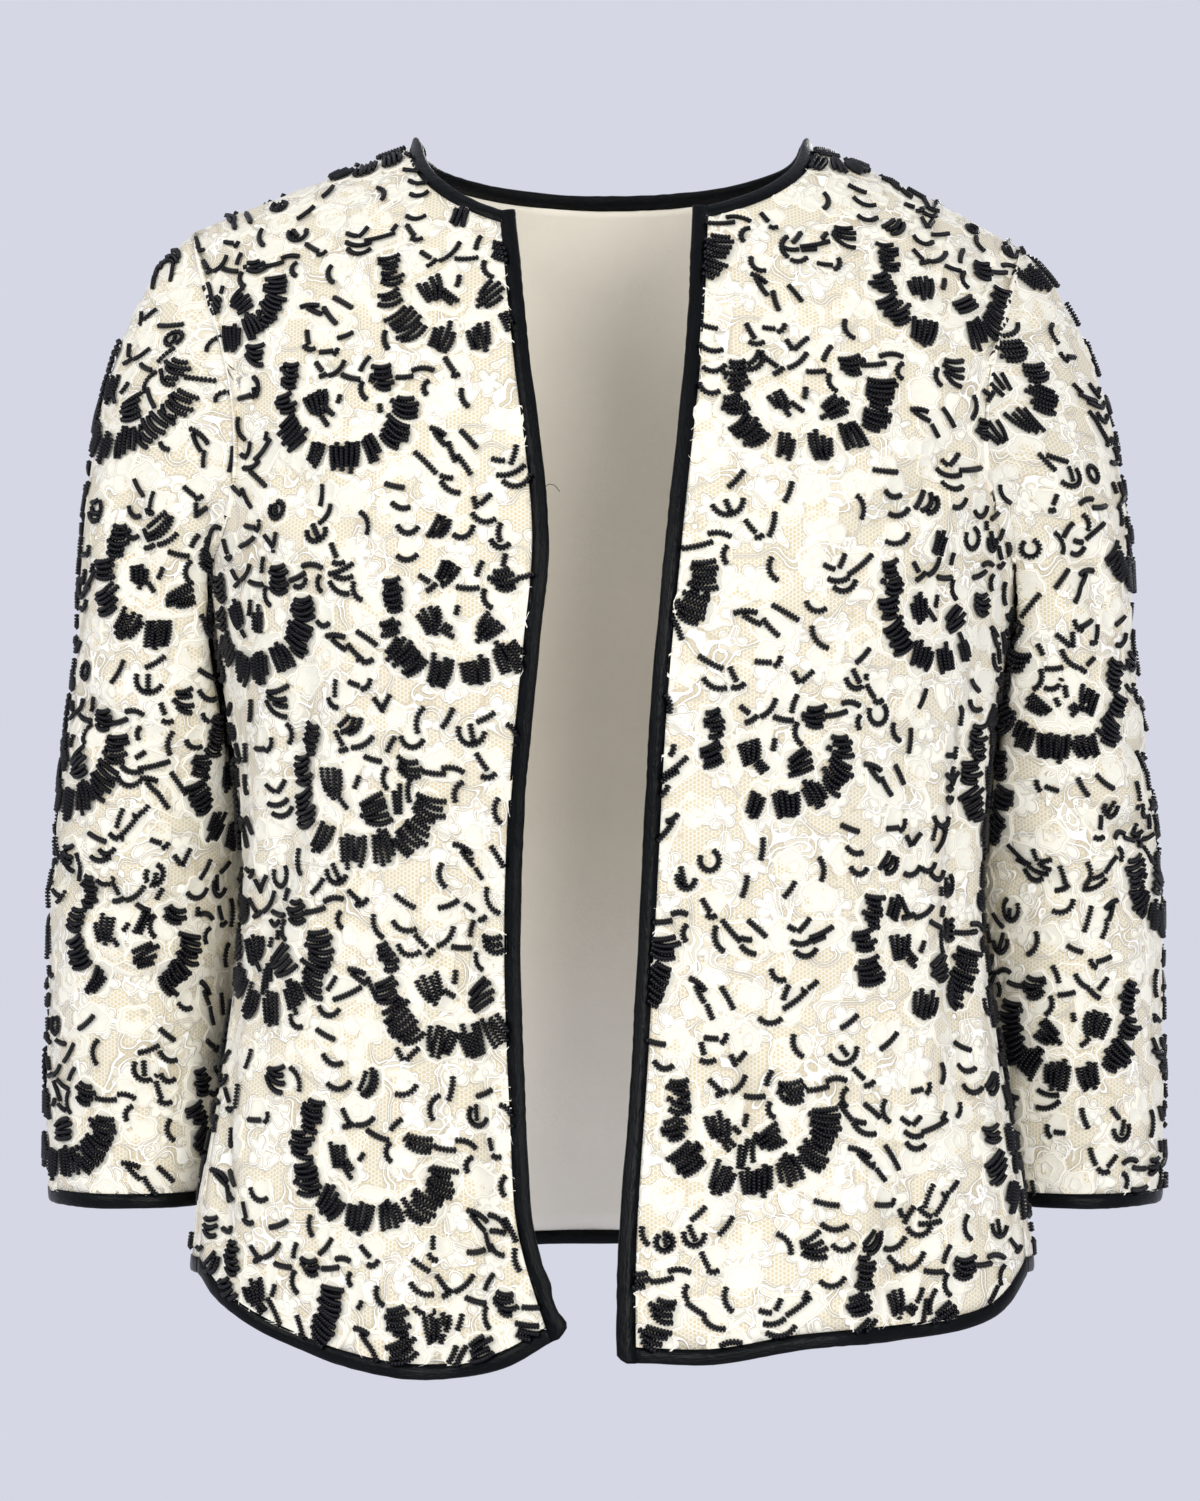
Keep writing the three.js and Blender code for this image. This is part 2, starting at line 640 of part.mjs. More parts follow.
function neckStations(right, back, left, rightUp, leftUp) {
  const rightEdge = right.points.slice(0, right.neckSteps + 1).map(
    (_, i) => edgePoint(right, i, right.rows, 0, -1),
  );
  const leftEdge = left.points.slice(0, left.neckSteps + 1).map(
    (_, i) => edgePoint(left, i, left.rows, 0, -1),
  );
  const from = back.centre - BACK_NECK_STEPS;
  const to = back.centre + BACK_NECK_STEPS;
  const backEdge = back.points.slice(from, to + 1).map(
    (_, i) => edgePoint(back, from + i, back.rows, 0, -1),
  );
  const edge = [...rightEdge, ...backEdge.slice(1, -1), ...leftEdge.reverse()];
  return edgeStations(edge, false, { first: rightUp, last: leftUp });
}

function backHemStations(back) {
  const last = back.points.length - 1;
  const edge = back.points.map((_, i) => edgePoint(back, i, 0, 0, 1));
  const first = back.points[0][0].clone().sub(back.points[0][1]);
  const end = back.points[last][0].clone().sub(back.points[last][1]);
  return edgeStations(edge, false, { first, last: end });
}

const cuffStations = (sleeve) => edgeStations(
  sleeve.points.map((_, k) => edgePoint(sleeve, k, 0, 0, 1)),
  true,
);

const lace = new THREE.MeshStandardMaterial({ color: LACE_COLOUR, roughness: 0.85 });
const lining = new THREE.MeshStandardMaterial({ color: LINING_COLOUR, roughness: 0.6 });
const satin = new THREE.MeshStandardMaterial({ color: SATIN_COLOUR, roughness: 0.4 });

const group = new THREE.Group();

function addPiece(name, geometry, material) {
  const mesh = new THREE.Mesh(geometry, material);
  mesh.name = name;
  group.add(mesh);
}

const back = backPanel();
addPiece('back', wallGeometry(back, 0, LACE_WALL, false), lace);
addPiece(
  'lining_back',
  wallGeometry(back, LACE_WALL + SEAM_GAP, LACE_WALL + SEAM_GAP + LINING_WALL, false),
  lining,
);
addPiece('binding_hem_back', bindingGeometry(backHemStations(back), LINED_WALL, false), satin);

const fronts = {};
[LEFT, RIGHT].forEach((side) => {
  const front = finishHalf(halfPanel(side, false));
  const sleeve = sleevePanel(side, armholeLoop(front, back, side));
  const bindings = frontBindings(front);
  fronts[side.name] = { front, up: bindings.up };
  addPiece(`front_${side.name}`, wallGeometry(front, 0, LINED_WALL, false), lace);
  addPiece(`sleeve_${side.name}`, wallGeometry(sleeve, 0, LINED_WALL, true), lace);
  addPiece(`binding_front_${side.name}`, bindingGeometry(bindings.lead, LINED_WALL, false), satin);
  addPiece(`binding_hem_${side.name}`, bindingGeometry(bindings.hem, LINED_WALL, false), satin);
  addPiece(`binding_cuff_${side.name}`, bindingGeometry(cuffStations(sleeve), LINED_WALL, true), satin);
});
const neck = neckStations(
  fronts.right.front,
  back,
  fronts.left.front,
  fronts.right.up,
  fronts.left.up,
);
addPiece('binding_neck', bindingGeometry(neck, LINED_WALL, false), satin);

export default group;
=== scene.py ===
import math
import random
from collections import namedtuple
from functools import lru_cache

import bmesh
import bpy
import numpy as np
from mathutils import Matrix, Vector
from mathutils.bvhtree import BVHTree
from mathutils.interpolate import poly_3d_calc


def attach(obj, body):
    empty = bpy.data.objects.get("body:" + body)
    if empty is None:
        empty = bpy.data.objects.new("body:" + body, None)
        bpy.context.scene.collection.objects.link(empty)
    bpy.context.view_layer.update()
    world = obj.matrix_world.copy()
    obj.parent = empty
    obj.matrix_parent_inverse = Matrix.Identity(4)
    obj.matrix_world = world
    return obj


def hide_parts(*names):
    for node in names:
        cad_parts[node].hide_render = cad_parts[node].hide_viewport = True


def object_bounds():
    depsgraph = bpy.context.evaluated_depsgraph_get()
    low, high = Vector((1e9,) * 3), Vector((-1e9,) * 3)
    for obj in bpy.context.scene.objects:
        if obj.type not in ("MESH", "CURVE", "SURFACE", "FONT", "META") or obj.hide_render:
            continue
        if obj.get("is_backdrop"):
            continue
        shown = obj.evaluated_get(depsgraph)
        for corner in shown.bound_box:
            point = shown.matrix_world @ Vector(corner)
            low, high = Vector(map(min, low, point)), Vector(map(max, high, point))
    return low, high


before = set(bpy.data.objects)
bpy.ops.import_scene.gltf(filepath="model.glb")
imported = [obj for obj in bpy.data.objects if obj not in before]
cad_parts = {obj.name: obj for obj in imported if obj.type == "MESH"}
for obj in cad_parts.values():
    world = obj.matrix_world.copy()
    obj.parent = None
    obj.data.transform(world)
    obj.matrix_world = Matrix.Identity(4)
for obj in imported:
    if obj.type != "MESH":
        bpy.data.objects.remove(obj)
CAD_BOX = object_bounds()

bl_info = {
    "name": "Beaded lace cardigan",
    "version": (1, 0, 0),
    "blender": (4, 5, 0),
    "location": "View3D > Sidebar > Cardigan",
    "description": "Dresses the cardigan's panels with lace, cords, seed beads and satin binding",
    "category": "Object",
}

# Metres, +X to the wearer's left, -Y to the front, +Z up, with the origin in the neck opening.
MM = 0.001
BODY = "root"

# Cloth and binding, as in the solids
LACE_WALL = 0.0012
LINING_WALL = 0.0010
LINED_WALL = 0.0022
SEAM_GAP = 0.0003
BINDING_GAP = 0.0004
BINDING_WIDTH = 0.0055
BINDING_PROUD = 0.0006
EDGE_INSET = BINDING_WIDTH + BINDING_GAP

# Body shape: a rounded section at each level
CHEST_LEVEL = -0.205
SHOULDER_Y = 0.004
FRONT_SLOPE_POWER = 1.4
BACK_SLOPE_POWER = 2.1
Section = namedtuple("Section", "z half front back widest power")
BODY_SECTIONS = [
    Section(-0.560, 0.1885, -0.129, 0.119, -0.032, 2.3),
    Section(-0.500, 0.1860, -0.127, 0.118, -0.030, 2.3),
    Section(-0.465, 0.1815, -0.124, 0.115, -0.028, 2.3),
    Section(-0.425, 0.1745, -0.120, 0.110, -0.025, 2.3),
    Section(-0.385, 0.1680, -0.118, 0.104, -0.022, 2.3),
    Section(-0.345, 0.1640, -0.119, 0.100, -0.018, 2.3),
    Section(-0.310, 0.1645, -0.122, 0.100, -0.014, 2.3),
    Section(-0.272, 0.1685, -0.127, 0.104, -0.009, 2.3),
    Section(-0.235, 0.1750, -0.131, 0.108, -0.003, 2.3),
    Section(CHEST_LEVEL, 0.1800, -0.132, 0.110, 0.0, 2.3),
    Section(-0.150, 0.1830, -0.132, 0.110, 0.002, 2.5),
    Section(-0.095, 0.1880, -0.132, 0.110, 0.003, 2.7),
    Section(-0.035, 0.1940, -0.132, 0.110, SHOULDER_Y, 2.7),
    Section(0.030, 0.1980, -0.132, 0.110, SHOULDER_Y, 2.7),
]

# Side seam: its angle round the body from the centre front
Seam = namedtuple("Seam", "z degrees")
SIDE_SEAM = [Seam(-0.560, 70), Seam(-0.480, 74), Seam(-0.340, 86), Seam(CHEST_LEVEL, 90)]

# Neck and shoulders
NECK_HALF_WIDTH = 0.084
BACK_NECK_DROP = 0.012
UNDERARM_Z = -0.197
Armhole = namedtuple("Armhole", "upper_z upper_degrees lower_degrees")
ARMHOLE_FRONT = Armhole(-0.090, 50, 46)
ARMHOLE_BACK = Armhole(-0.090, 54, 50)
CHEST_ANGLE_BELOW_NECK = 27
CHEST_ANGLE_BELOW_SHOULDER = 44
ARMHOLE_SPREAD = 1.6

# What differs between the wearer's left and right. A hem's place is its share of the way
# from the front edge to the side seam.
Edge = namedtuple("Edge", "z x")
Hem = namedtuple("Hem", "place z")
Fold = namedtuple("Fold", "x top bottom width depth")
Side = namedtuple(
    "Side", "name sign neck_drop slope bow shoulder_x sleeve_shift front_edge hem folds"
)
LEFT = Side(
    "left", 1, 0.037, 0.33, 1.4, 0.183, -0.003,
    front_edge=[
        Edge(-0.545, 0.003), Edge(-0.482, 0.003), Edge(-0.403, 0.008), Edge(-0.327, 0.012),
        Edge(-0.251, 0.016), Edge(-0.175, 0.023), Edge(-0.100, 0.031), Edge(-0.030, 0.035),
        Edge(0.0, 0.036),
    ],
    hem=[
        Hem(0, -0.530), Hem(0.15, -0.531), Hem(0.32, -0.525), Hem(0.6, -0.522),
        Hem(0.78, -0.517), Hem(0.92, -0.506), Hem(1, -0.500),
    ],
    folds=[
        Fold(0.092, -0.330, -0.540, 0.022, 0.0035), Fold(0.128, -0.400, -0.540, 0.018, -0.003),
        Fold(0.040, -0.420, -0.540, 0.020, -0.002),
    ],
)
RIGHT = Side(
    "right", -1, 0.042, 0.34, 0.3, 0.188, 0.003,
    front_edge=[
        Edge(-0.545, 0.014), Edge(-0.519, 0.020), Edge(-0.495, 0.028), Edge(-0.470, 0.034),
        Edge(-0.441, 0.036), Edge(-0.360, 0.039), Edge(-0.293, 0.037), Edge(-0.230, 0.031),
        Edge(-0.179, 0.027), Edge(-0.098, 0.036), Edge(-0.038, 0.042), Edge(0.0, 0.045),
    ],
    hem=[
        Hem(0, -0.521), Hem(0.12, -0.533), Hem(0.25, -0.538), Hem(0.45, -0.533),
        Hem(0.62, -0.524), Hem(0.8, -0.512), Hem(0.93, -0.503), Hem(1, -0.500),
    ],
    folds=[
        Fold(0.066, -0.300, -0.540, 0.015, -0.006), Fold(0.092, -0.320, -0.540, 0.020, 0.004),
        Fold(0.135, -0.400, -0.540, 0.020, -0.003),
    ],
)
BACK_HEM = [
    Hem(-1, -0.500), Hem(-0.5, -0.505), Hem(0, -0.507), Hem(0.5, -0.505), Hem(1, -0.500),
]
BACK_FOLDS = [
    Fold(-0.118, -0.330, -0.520, 0.022, 0.004), Fold(-0.062, -0.300, -0.520, 0.024, -0.004),
    Fold(-0.008, -0.360, -0.520, 0.026, 0.003), Fold(0.058, -0.300, -0.520, 0.024, -0.0045),
    Fold(0.112, -0.340, -0.520, 0.022, 0.004),
]

# Sleeves: level rings below the armhole, then a cap that runs up to the armhole
CAP_LEVEL = -0.215
CUFF_LEVEL = -0.477 + EDGE_INSET
SLEEVE_CLEARANCE = 0.004
SLEEVE_SOFTNESS = 0.003
CAP_RISE = 0.5
CAP_REACH = 0.18
CAP_IN_FRONT = 0.5
CAP_IN_BACK = 0.25
CAP_FALL = 0.08
CAP_MIDDLE_RISE = 0.06
Ring = namedtuple("Ring", "z x y half_x half_y")
SLEEVE_SECTIONS = [
    Ring(CUFF_LEVEL - 0.010, 0.2130, 0.036, 0.0410, 0.0480),
    Ring(-0.450, 0.2125, 0.035, 0.0420, 0.0485),
    Ring(-0.400, 0.2110, 0.031, 0.0425, 0.0500),
    Ring(-0.340, 0.2085, 0.026, 0.0430, 0.0520),
    Ring(-0.295, 0.2040, 0.021, 0.0430, 0.0530),
    Ring(-0.250, 0.1985, 0.016, 0.0425, 0.0540),
    Ring(CAP_LEVEL, 0.1950, 0.012, 0.0420, 0.0540),
]

# Soft creases in the flat cloth: the middle, heading, length, half width, depth (below zero
# for a trough) and how far the ends bow aside in half widths; then how many steps from an edge
# they reach their depth, and the height, place and width of their lips
Crease = namedtuple("Crease", "piece u v turn length width depth bow")
CREASES = [
    Crease("front_right", -0.066, -0.405, 91, 0.210, 0.012, -0.0064, 0.4),
    Crease("front_right", -0.150, -0.300, 78, 0.150, 0.011, -0.0039, -0.5),
    Crease("front_right", -0.128, -0.170, -40, 0.090, 0.009, -0.0036, 0.5),
    Crease("front_right", -0.190, -0.440, 98, 0.110, 0.010, -0.0045, 0.3),
    Crease("front_left", 0.062, -0.440, 86, 0.130, 0.010, -0.0036, -0.4),
    Crease("front_left", 0.165, -0.330, 84, 0.190, 0.010, -0.0054, 0.5),
    Crease("front_left", 0.130, -0.165, 42, 0.085, 0.009, -0.0033, -0.5),
    Crease("front_left", 0.120, -0.490, 74, 0.080, 0.010, -0.0036, 0.2),
    Crease("back", 0.105, -0.330, 84, 0.190, 0.011, -0.0048, 0.5),
    Crease("back", -0.090, -0.360, 97, 0.170, 0.010, -0.0045, -0.4),
    Crease("back", 0.020, -0.430, 92, 0.120, 0.012, -0.0039, 0.3),
    Crease("back", 0.150, -0.180, -38, 0.100, 0.010, -0.0039, 0.5),
    Crease("back", -0.155, -0.185, 36, 0.090, 0.010, -0.0036, -0.4),
    Crease("sleeve_left", 0.045, -0.305, 22, 0.085, 0.006, -0.0051, 0.6),
    Crease("sleeve_left", 0.075, -0.335, 14, 0.075, 0.006, -0.0045, -0.5),
    Crease("sleeve_left", 0.020, -0.272, 30, 0.070, 0.007, -0.0036, 0.4),
    Crease("sleeve_left", 0.060, -0.180, 62, 0.090, 0.009, -0.0039, 0.5),
    Crease("sleeve_left", -0.070, -0.320, -16, 0.080, 0.007, -0.0039, 0.5),
    Crease("sleeve_left", -0.050, -0.230, -40, 0.090, 0.009, -0.0036, -0.4),
    Crease("sleeve_right", -0.060, -0.315, 18, 0.080, 0.007, -0.0042, 0.5),
    Crease("sleeve_right", 0.070, -0.270, -30, 0.090, 0.008, -0.0045, 0.5),
    Crease("sleeve_right", 0.045, -0.335, -18, 0.085, 0.006, -0.0045, -0.6),
    Crease("sleeve_right", 0.080, -0.375, -10, 0.060, 0.006, -0.0036, 0.4),
    Crease("sleeve_right", 0.062, -0.190, -64, 0.090, 0.009, -0.0039, -0.5),
    Crease("sleeve_right", -0.060, -0.220, 44, 0.085, 0.009, -0.0033, 0.4),
]
CREASE_FREE = 4
CREASE_LIP = 0.35
CREASE_LIP_AWAY = 1.9
CREASE_LIP_WIDTH = 0.9

# How finely the cloth is divided
FRONT_STEPS = (14, 14, 26)
BACK_STEPS = (12, 12, 26)
FRONT_ROWS = 72
BACK_ROWS = 66
SLEEVE_ROWS = 34
CAP_ROWS = 20
FINE_STEPS = 90
CORNER_TRIES = 8
COLUMN_BEND = 1.5
ROW_CROWDING = 0.3
CHART_LEVELS = np.linspace(-0.56, 0.04, 61)
CHART_ANGLES = np.linspace(0, 180, 61)
EDGE_REACH = 0.0004
MERGE = 0.01 * MM

# Satin strips: their steps, how they grip the cloth, and how they pucker, in waves of so many
# radians a metre
STRIP_STEP = 0.0030
ROLLED_STEP = 0.0020
STRIP_SIDES = 8
STRIP_GRIP = 0.0010
STRIP_WALL = 0.0005
STRIP_ROUND = 0.62
STRIP_WIDTH = 0.0165
PUCKER_FREE = 3
PUCKER_SLANT = 0.0012
PUCKER_WAVES = (93, 171)
PUCKER_FAST = 640
PUCKER_DRIFT = 2.2
PUCKER_CALM = 57

# Where a front's binding rolls out: the way up from its foot, half its length, and how far
Roll = namedtuple("Roll", "place reach out")
ROLLS = {
    "right": [Roll(0.0240, 0.0080, 0.0011), Roll(0.0055, 0.0065, 0.0018)],
    "left": [Roll(0.0150, 0.0900, 0.0012)],
}
FOOT_ROUND = 0.0040
FOOT_END = 0.45

# Seams, and the thread end that sticks out of a binding: across it and up, point by point
SEAM_RADIUS = 0.0007
SEAM_SUNK = 0.0026
LOOSE_LEVEL = -0.162
LOOSE_RADIUS = 0.00017
LOOSE_THREAD = [
    (-0.0004, 0.0), (0.0006, 0.0008), (0.0016, 0.0010), (0.0030, 0.0006),
    (0.0041, -0.0002), (0.0050, -0.0014), (0.0058, -0.0026),
]

# Levels in the lace's textures: where a net hole begins and is full, the two lines of a cord
# that wanders and the middle between them, round which painted shadow darkens the net, and the
# line round a leaf
NET_HOLE = (-0.85, 0.15)
VINE_SCALE = 42
VINE_LINES = (0.47, 0.50)
VINE_MIDDLE = 0.485
LEAF_SCALE = 75
LEAF_SHIFT = (3, 7, 0)
LEAF_LINE = 0.60
LEAF_INSIDE = (0.605, 0.615)

# The lace's flat flowers, as shares of the step between them, and how far they are bent
FLOWER_LOBES = 5
FLOWER_SPIN = 6.28
FLOWER_LEAST = 0.16
FLOWER_SPREAD = 0.10
FLOWER_LOBE_REACH = 0.17
FLOWER_EYE = 0.09
BEND_SCALE = 110
BEND_REACH = 0.004

# How high each part of the lace and each thread of a weave stands, as shares of the relief
HOLE_HEIGHT = -0.5
CLOTHWORK_HEIGHT = 0.35
CORD_HEIGHT = 0.9
CROSSING_HEIGHT = 0.4
SLUB_HEIGHT = 0.8
SLUB_SCALE = 700

# The step between the threads of each cloth, and the relief of its surface
LACE_THREAD = 0.00055
PETAL_THREAD = 0.0006
LINING_THREAD = 0.0004
SATIN_THREAD = 0.0003
LACE_RELIEF = 0.0005
PETAL_RELIEF = 0.0003
LINING_RELIEF = 0.00012
SATIN_RELIEF = 0.0004
THREAD_RELIEF = 0.0001

# Studio
PHOTO_HEIGHT = 1501
CAMERA_FOCUS = 4449
SENSOR_WIDTH = 36
CAMERA_PLACE = (-0.0054, -2.0, -0.272)
FLOOR_RADIUS = 1.2
FLOOR_SEGMENTS = 96
FLOOR_LEVEL = -0.95
AIR_STRENGTH = 1.0
LAMP_AIM = (0, 0, -0.27)
Lamp = namedtuple("Lamp", "name place size power colour")
LAMPS = [
    Lamp("key", (-1.5, -1.8, 0.8), 1.0, 23, (1.0, 0.98, 0.94)),
    Lamp("fill", (0.8, -2.7, -0.1), 1.0, 41, (1.0, 0.985, 0.955)),
    Lamp("back", (0.9, 2.3, 0.5), 1.4, 24, (1.0, 0.985, 0.955)),
]


def clamp(value, low=0.0, high=1.0):
    return max(low, min(high, value))


def mix(a, b, t):
    return a + (b - a) * t


def ease(t):
    t = clamp(t)
    return t * t * (3 - 2 * t)


def read(table, value):
    """The other columns of a table, on a smooth curve through its rows, at a value of the first."""
    last = len(table) - 1
    i = 0
    while i < last - 1 and value > table[i + 1][0]:
        i += 1
    a, b = table[i], table[i + 1]
    before, after = table[max(i - 1, 0)], table[min(i + 2, last)]
    step = b[0] - a[0]
    t = clamp((value - a[0]) / step)
    bend = t * t * (3 - 2 * t)
    leave = t * (1 - t) ** 2 * step / (b[0] - before[0])
    arrive = -t * t * (1 - t) * step / (after[0] - a[0])
    return [
        a[k] + (b[k] - a[k]) * bend + leave * (b[k] - before[k]) + arrive * (after[k] - a[k])
        for k in range(1, len(a))
    ]


@lru_cache(maxsize=None)
def body_at(z):
    return Section(z, *read(BODY_SECTIONS, z))


def shoulder_height(x, side):
    if x < NECK_HALF_WIDTH:
        return side.slope * (NECK_HALF_WIDTH**2 - x**2) / (2 * NECK_HALF_WIDTH)
    out = x - NECK_HALF_WIDTH
    return -out * (side.slope + side.bow * out)


def body_point(side, degrees, z):
    """A point of the body: angle 0 is the centre front, 90 the side and 180 the centre back."""
    turn = math.radians(degrees)
    sine, cosine = math.sin(turn), math.cos(turn)
    section = body_at(z)
    power = section.power
    radius = (abs(sine) ** power + abs(cosine) ** power) ** (-1 / power)
    x = section.half * radius * sine
    reach = (section.front if cosine > 0 else section.back) - section.widest
    y = section.widest + reach * radius * abs(cosine)
    if z > CHEST_LEVEL:
        rise = (z - CHEST_LEVEL) / (shoulder_height(x, side) - CHEST_LEVEL)
        slope_power = FRONT_SLOPE_POWER if cosine > 0 else BACK_SLOPE_POWER
        lean = 1 - math.sqrt(max(0.0, 1 - min(rise, 1.0) ** slope_power))
        y += (SHOULDER_Y - y) * lean
    return Vector((side.sign * x, y, z))


def angle_at(x, z, is_back):
    """The angle round the body at which a level reaches out to x."""
    section = body_at(z)
    across = min(x / section.half, 1.0)
    deep = (1 - across**section.power) ** (1 / section.power)
    degrees = math.degrees(math.atan2(across, deep))
    return 180 - degrees if is_back else degrees


def step_along(side, path, steps, crowding=0.0):
    """Steps along a path in (angle, height), measured on the body: even, or crowded to its end."""
    places = [path(k / FINE_STEPS) for k in range(FINE_STEPS + 1)]
    points = [body_point(side, *place) for place in places]
    lengths = np.cumsum([0.0] + [(b - a).length for a, b in zip(points, points[1:])])
    shares = np.linspace(0, 1, steps + 1)
    wanted = lengths[-1] * shares * (1 + crowding * (1 - shares))
    degrees = np.interp(wanted, lengths, [place[0] for place in places])
    heights = np.interp(wanted, lengths, [place[1] for place in places])
    return list(zip(degrees.tolist(), heights.tolist()))


def front_edge_x(side, z):
    return read(side.front_edge, z)[0] + EDGE_INSET


def neckline_path(side, is_back):
    """The neckline of one half, from the centre to the shoulder seam."""
    half = NECK_HALF_WIDTH + EDGE_INSET
    top = shoulder_height(half, side)
    drop = EDGE_INSET + (BACK_NECK_DROP if is_back else side.neck_drop)
    start = 0.0
    if not is_back:
        start = NECK_HALF_WIDTH / 2
        for _ in range(CORNER_TRIES):
            start = front_edge_x(side, top - drop * math.sqrt(1 - (start / half) ** 2))
    turn = math.acos(start / half)

    def path(t):
        x = half * math.cos(turn * (1 - t))
        z = top - drop * math.sin(turn * (1 - t))
        return angle_at(x, z, is_back), z

    return path


def shoulder_path(side, is_back):
    def path(t):
        x = mix(NECK_HALF_WIDTH + EDGE_INSET, side.shoulder_x, t)
        z = shoulder_height(x, side)
        return angle_at(x, z, is_back), z

    return path


def armhole_path(side, is_back):
    shape = ARMHOLE_BACK if is_back else ARMHOLE_FRONT
    top_z = shoulder_height(side.shoulder_x, side)
    corners = [
        (angle_at(side.shoulder_x, top_z, False), top_z),
        (shape.upper_degrees, shape.upper_z),
        (shape.lower_degrees, UNDERARM_Z),
        (90, UNDERARM_Z),
    ]

    def path(t):
        weights = [(1 - t) ** 3, 3 * t * (1 - t) ** 2, 3 * t * t * (1 - t), t**3]
        degrees = sum(w * corner[0] for w, corner in zip(weights, corners))
        z = sum(w * corner[1] for w, corner in zip(weights, corners))
        return (180 - degrees if is_back else degrees), z

    return path


def half_columns(side, is_back):
    """Half a panel's columns: each its share of the way round and the place where it ends."""
    edge = 180 if is_back else angle_at(front_edge_x(side, CHEST_LEVEL), CHEST_LEVEL, False)
    chest = [CHEST_ANGLE_BELOW_NECK, CHEST_ANGLE_BELOW_SHOULDER, 90]
    if is_back:
        chest = [180 - degrees for degrees in chest]
    paths = [path(side, is_back) for path in (neckline_path, shoulder_path, armhole_path)]
    columns = []
    start = edge
    for path, steps, end in zip(paths, BACK_STEPS if is_back else FRONT_STEPS, chest):
        spread = ARMHOLE_SPREAD if path is paths[2] else 1.0
        for k, top in enumerate(step_along(side, path, steps)):
            if k or path is paths[0]:
                degrees = mix(start, end, (k / steps) ** spread)
                columns.append(((degrees - edge) / (90 - edge), top))
        start = end
    return columns


def column_path(side, share, top, hem_z, is_back):
    """A column's way up the body, from the hem to the panel's top edge."""

    def base(z):
        edge = 180 if is_back else angle_at(front_edge_x(side, z), z, False)
        return mix(edge, read(SIDE_SEAM, min(z, CHEST_LEVEL))[0], share)

    shift = top[0] - base(top[1])

    def path(t):
        z = mix(hem_z, top[1], 1 - (1 - t) ** 2)
        above = clamp((z - CHEST_LEVEL) / (top[1] - CHEST_LEVEL))
        return base(z) + shift * above**COLUMN_BEND, z

    return path


def fold_depth(folds, x, z):
    """How far the folds of a panel stand out at one of its points."""
    return sum(
        fold.depth
        * ease((fold.top - z) / (fold.top - fold.bottom))
        * math.exp(-(((x - fold.x) / fold.width) ** 2))
        for fold in folds
    )


def body_normal(side, degrees, z):
    here = body_point(side, degrees, z)
    across = body_point(side, degrees + 1, z - MM) - body_point(side, degrees - 1, z - MM)
    normal = across.cross(here - body_point(side, degrees, z - MM)).normalized()
    axis = Vector((0, SHOULDER_Y, min(z, CHEST_LEVEL)))
    return normal if (here - axis).dot(normal) > 0 else -normal


@lru_cache(maxsize=None)
def body_chart(side_name):
    """Distances on the body: round it from the centre front, and up it from the chest level."""
    side = LEFT if side_name == "left" else RIGHT
    points = np.array([[body_point(side, a, z) for a in CHART_ANGLES] for z in CHART_LEVELS])
    round_steps = np.linalg.norm(np.diff(points, axis=1), axis=2)
    around = np.hstack([np.zeros((len(CHART_LEVELS), 1)), np.cumsum(round_steps, axis=1)])
    up_steps = np.linalg.norm(np.diff(points, axis=0), axis=2)
    up = np.vstack([np.zeros((1, len(CHART_ANGLES))), np.cumsum(up_steps, axis=0)])
    chest = np.array([np.interp(CHEST_LEVEL, CHART_LEVELS, column) for column in up.T])
    return around, up - chest + CHEST_LEVEL


def flat_place(side, degrees, z, is_back):
    """Where a place on the body lies in the flat cloth: across from the centre, and up."""
    around, up = body_chart(side.name)
    level = np.interp(z, CHART_LEVELS, np.arange(len(CHART_LEVELS)))
    low = int(min(level, len(CHART_LEVELS) - 2))
    rest = level - low

    def at(table):
        return mix(
            np.interp(degrees, CHART_ANGLES, table[low]),
            np.interp(degrees, CHART_ANGLES, table[low + 1]),
            rest,
        )

    across = at(around)
    if is_back:
        across = mix(around[low][-1], around[low + 1][-1], rest) - across
    return side.sign * across, at(up)


class Cloth:
    """Columns of points on a piece of cloth, and where each lies in the flat piece."""

    def __init__(self, name, points, flats):
        self.name = name
        self.points = points
        self.flats = flats
        rows = len(points[0])
        self.spots = [point for column in points for point in column]
        self.places = [Vector((u, v, 0)) for column in flats for u, v in column]
        self.faces = []
        for i in range(len(points) - 1):
            for j in range(rows - 1):
                a, b = i * rows + j, (i + 1) * rows + j
                self.faces += [(a, b, b + 1), (a, b + 1, a + 1)]
        self.tree = BVHTree.FromPolygons(self.places, self.faces)
        self.normals = [Vector() for _ in self.spots]
        sense = 0.0
        for a, b, c in self.faces:
            normal = (self.spots[b] - self.spots[a]).cross(self.spots[c] - self.spots[a])
            sense += normal.dot(self.spots[a] - self.middle(self.spots[a]))
            for corner in (a, b, c):
                self.normals[corner] += normal
        turn = 1 if sense > 0 else -1
        self.normals = [turn * normal.normalized() for normal in self.normals]

    def middle(self, point):
        """A point inside the garment, level with this one."""
        if self.name.startswith("sleeve"):
            x, y = read(SLEEVE_SECTIONS, min(point.z, CAP_LEVEL))[:2]
            return Vector((math.copysign(x, point.x), y, min(point.z, CAP_LEVEL + CAP_MIDDLE_RISE)))
        return Vector((0, SHOULDER_Y, min(point.z, CHEST_LEVEL)))

    def at(self, u, v, reach=EDGE_REACH):
        """The point and normal at a flat place, or None beyond the edges of the cloth."""
        hit, _, face, away = self.tree.find_nearest(Vector((u, v, 0)))
        if hit is None or away > reach:
            return None
        corners = self.faces[face]
        weights = poly_3d_calc([self.places[c] for c in corners], hit)
        point, normal = Vector(), Vector()
        for weight, corner in zip(weights, corners):
            point += weight * self.spots[corner]
            normal += weight * self.normals[corner]
        return point, normal.normalized()

    def normal(self, i, j):
        return self.normals[i * len(self.points[0]) + j]


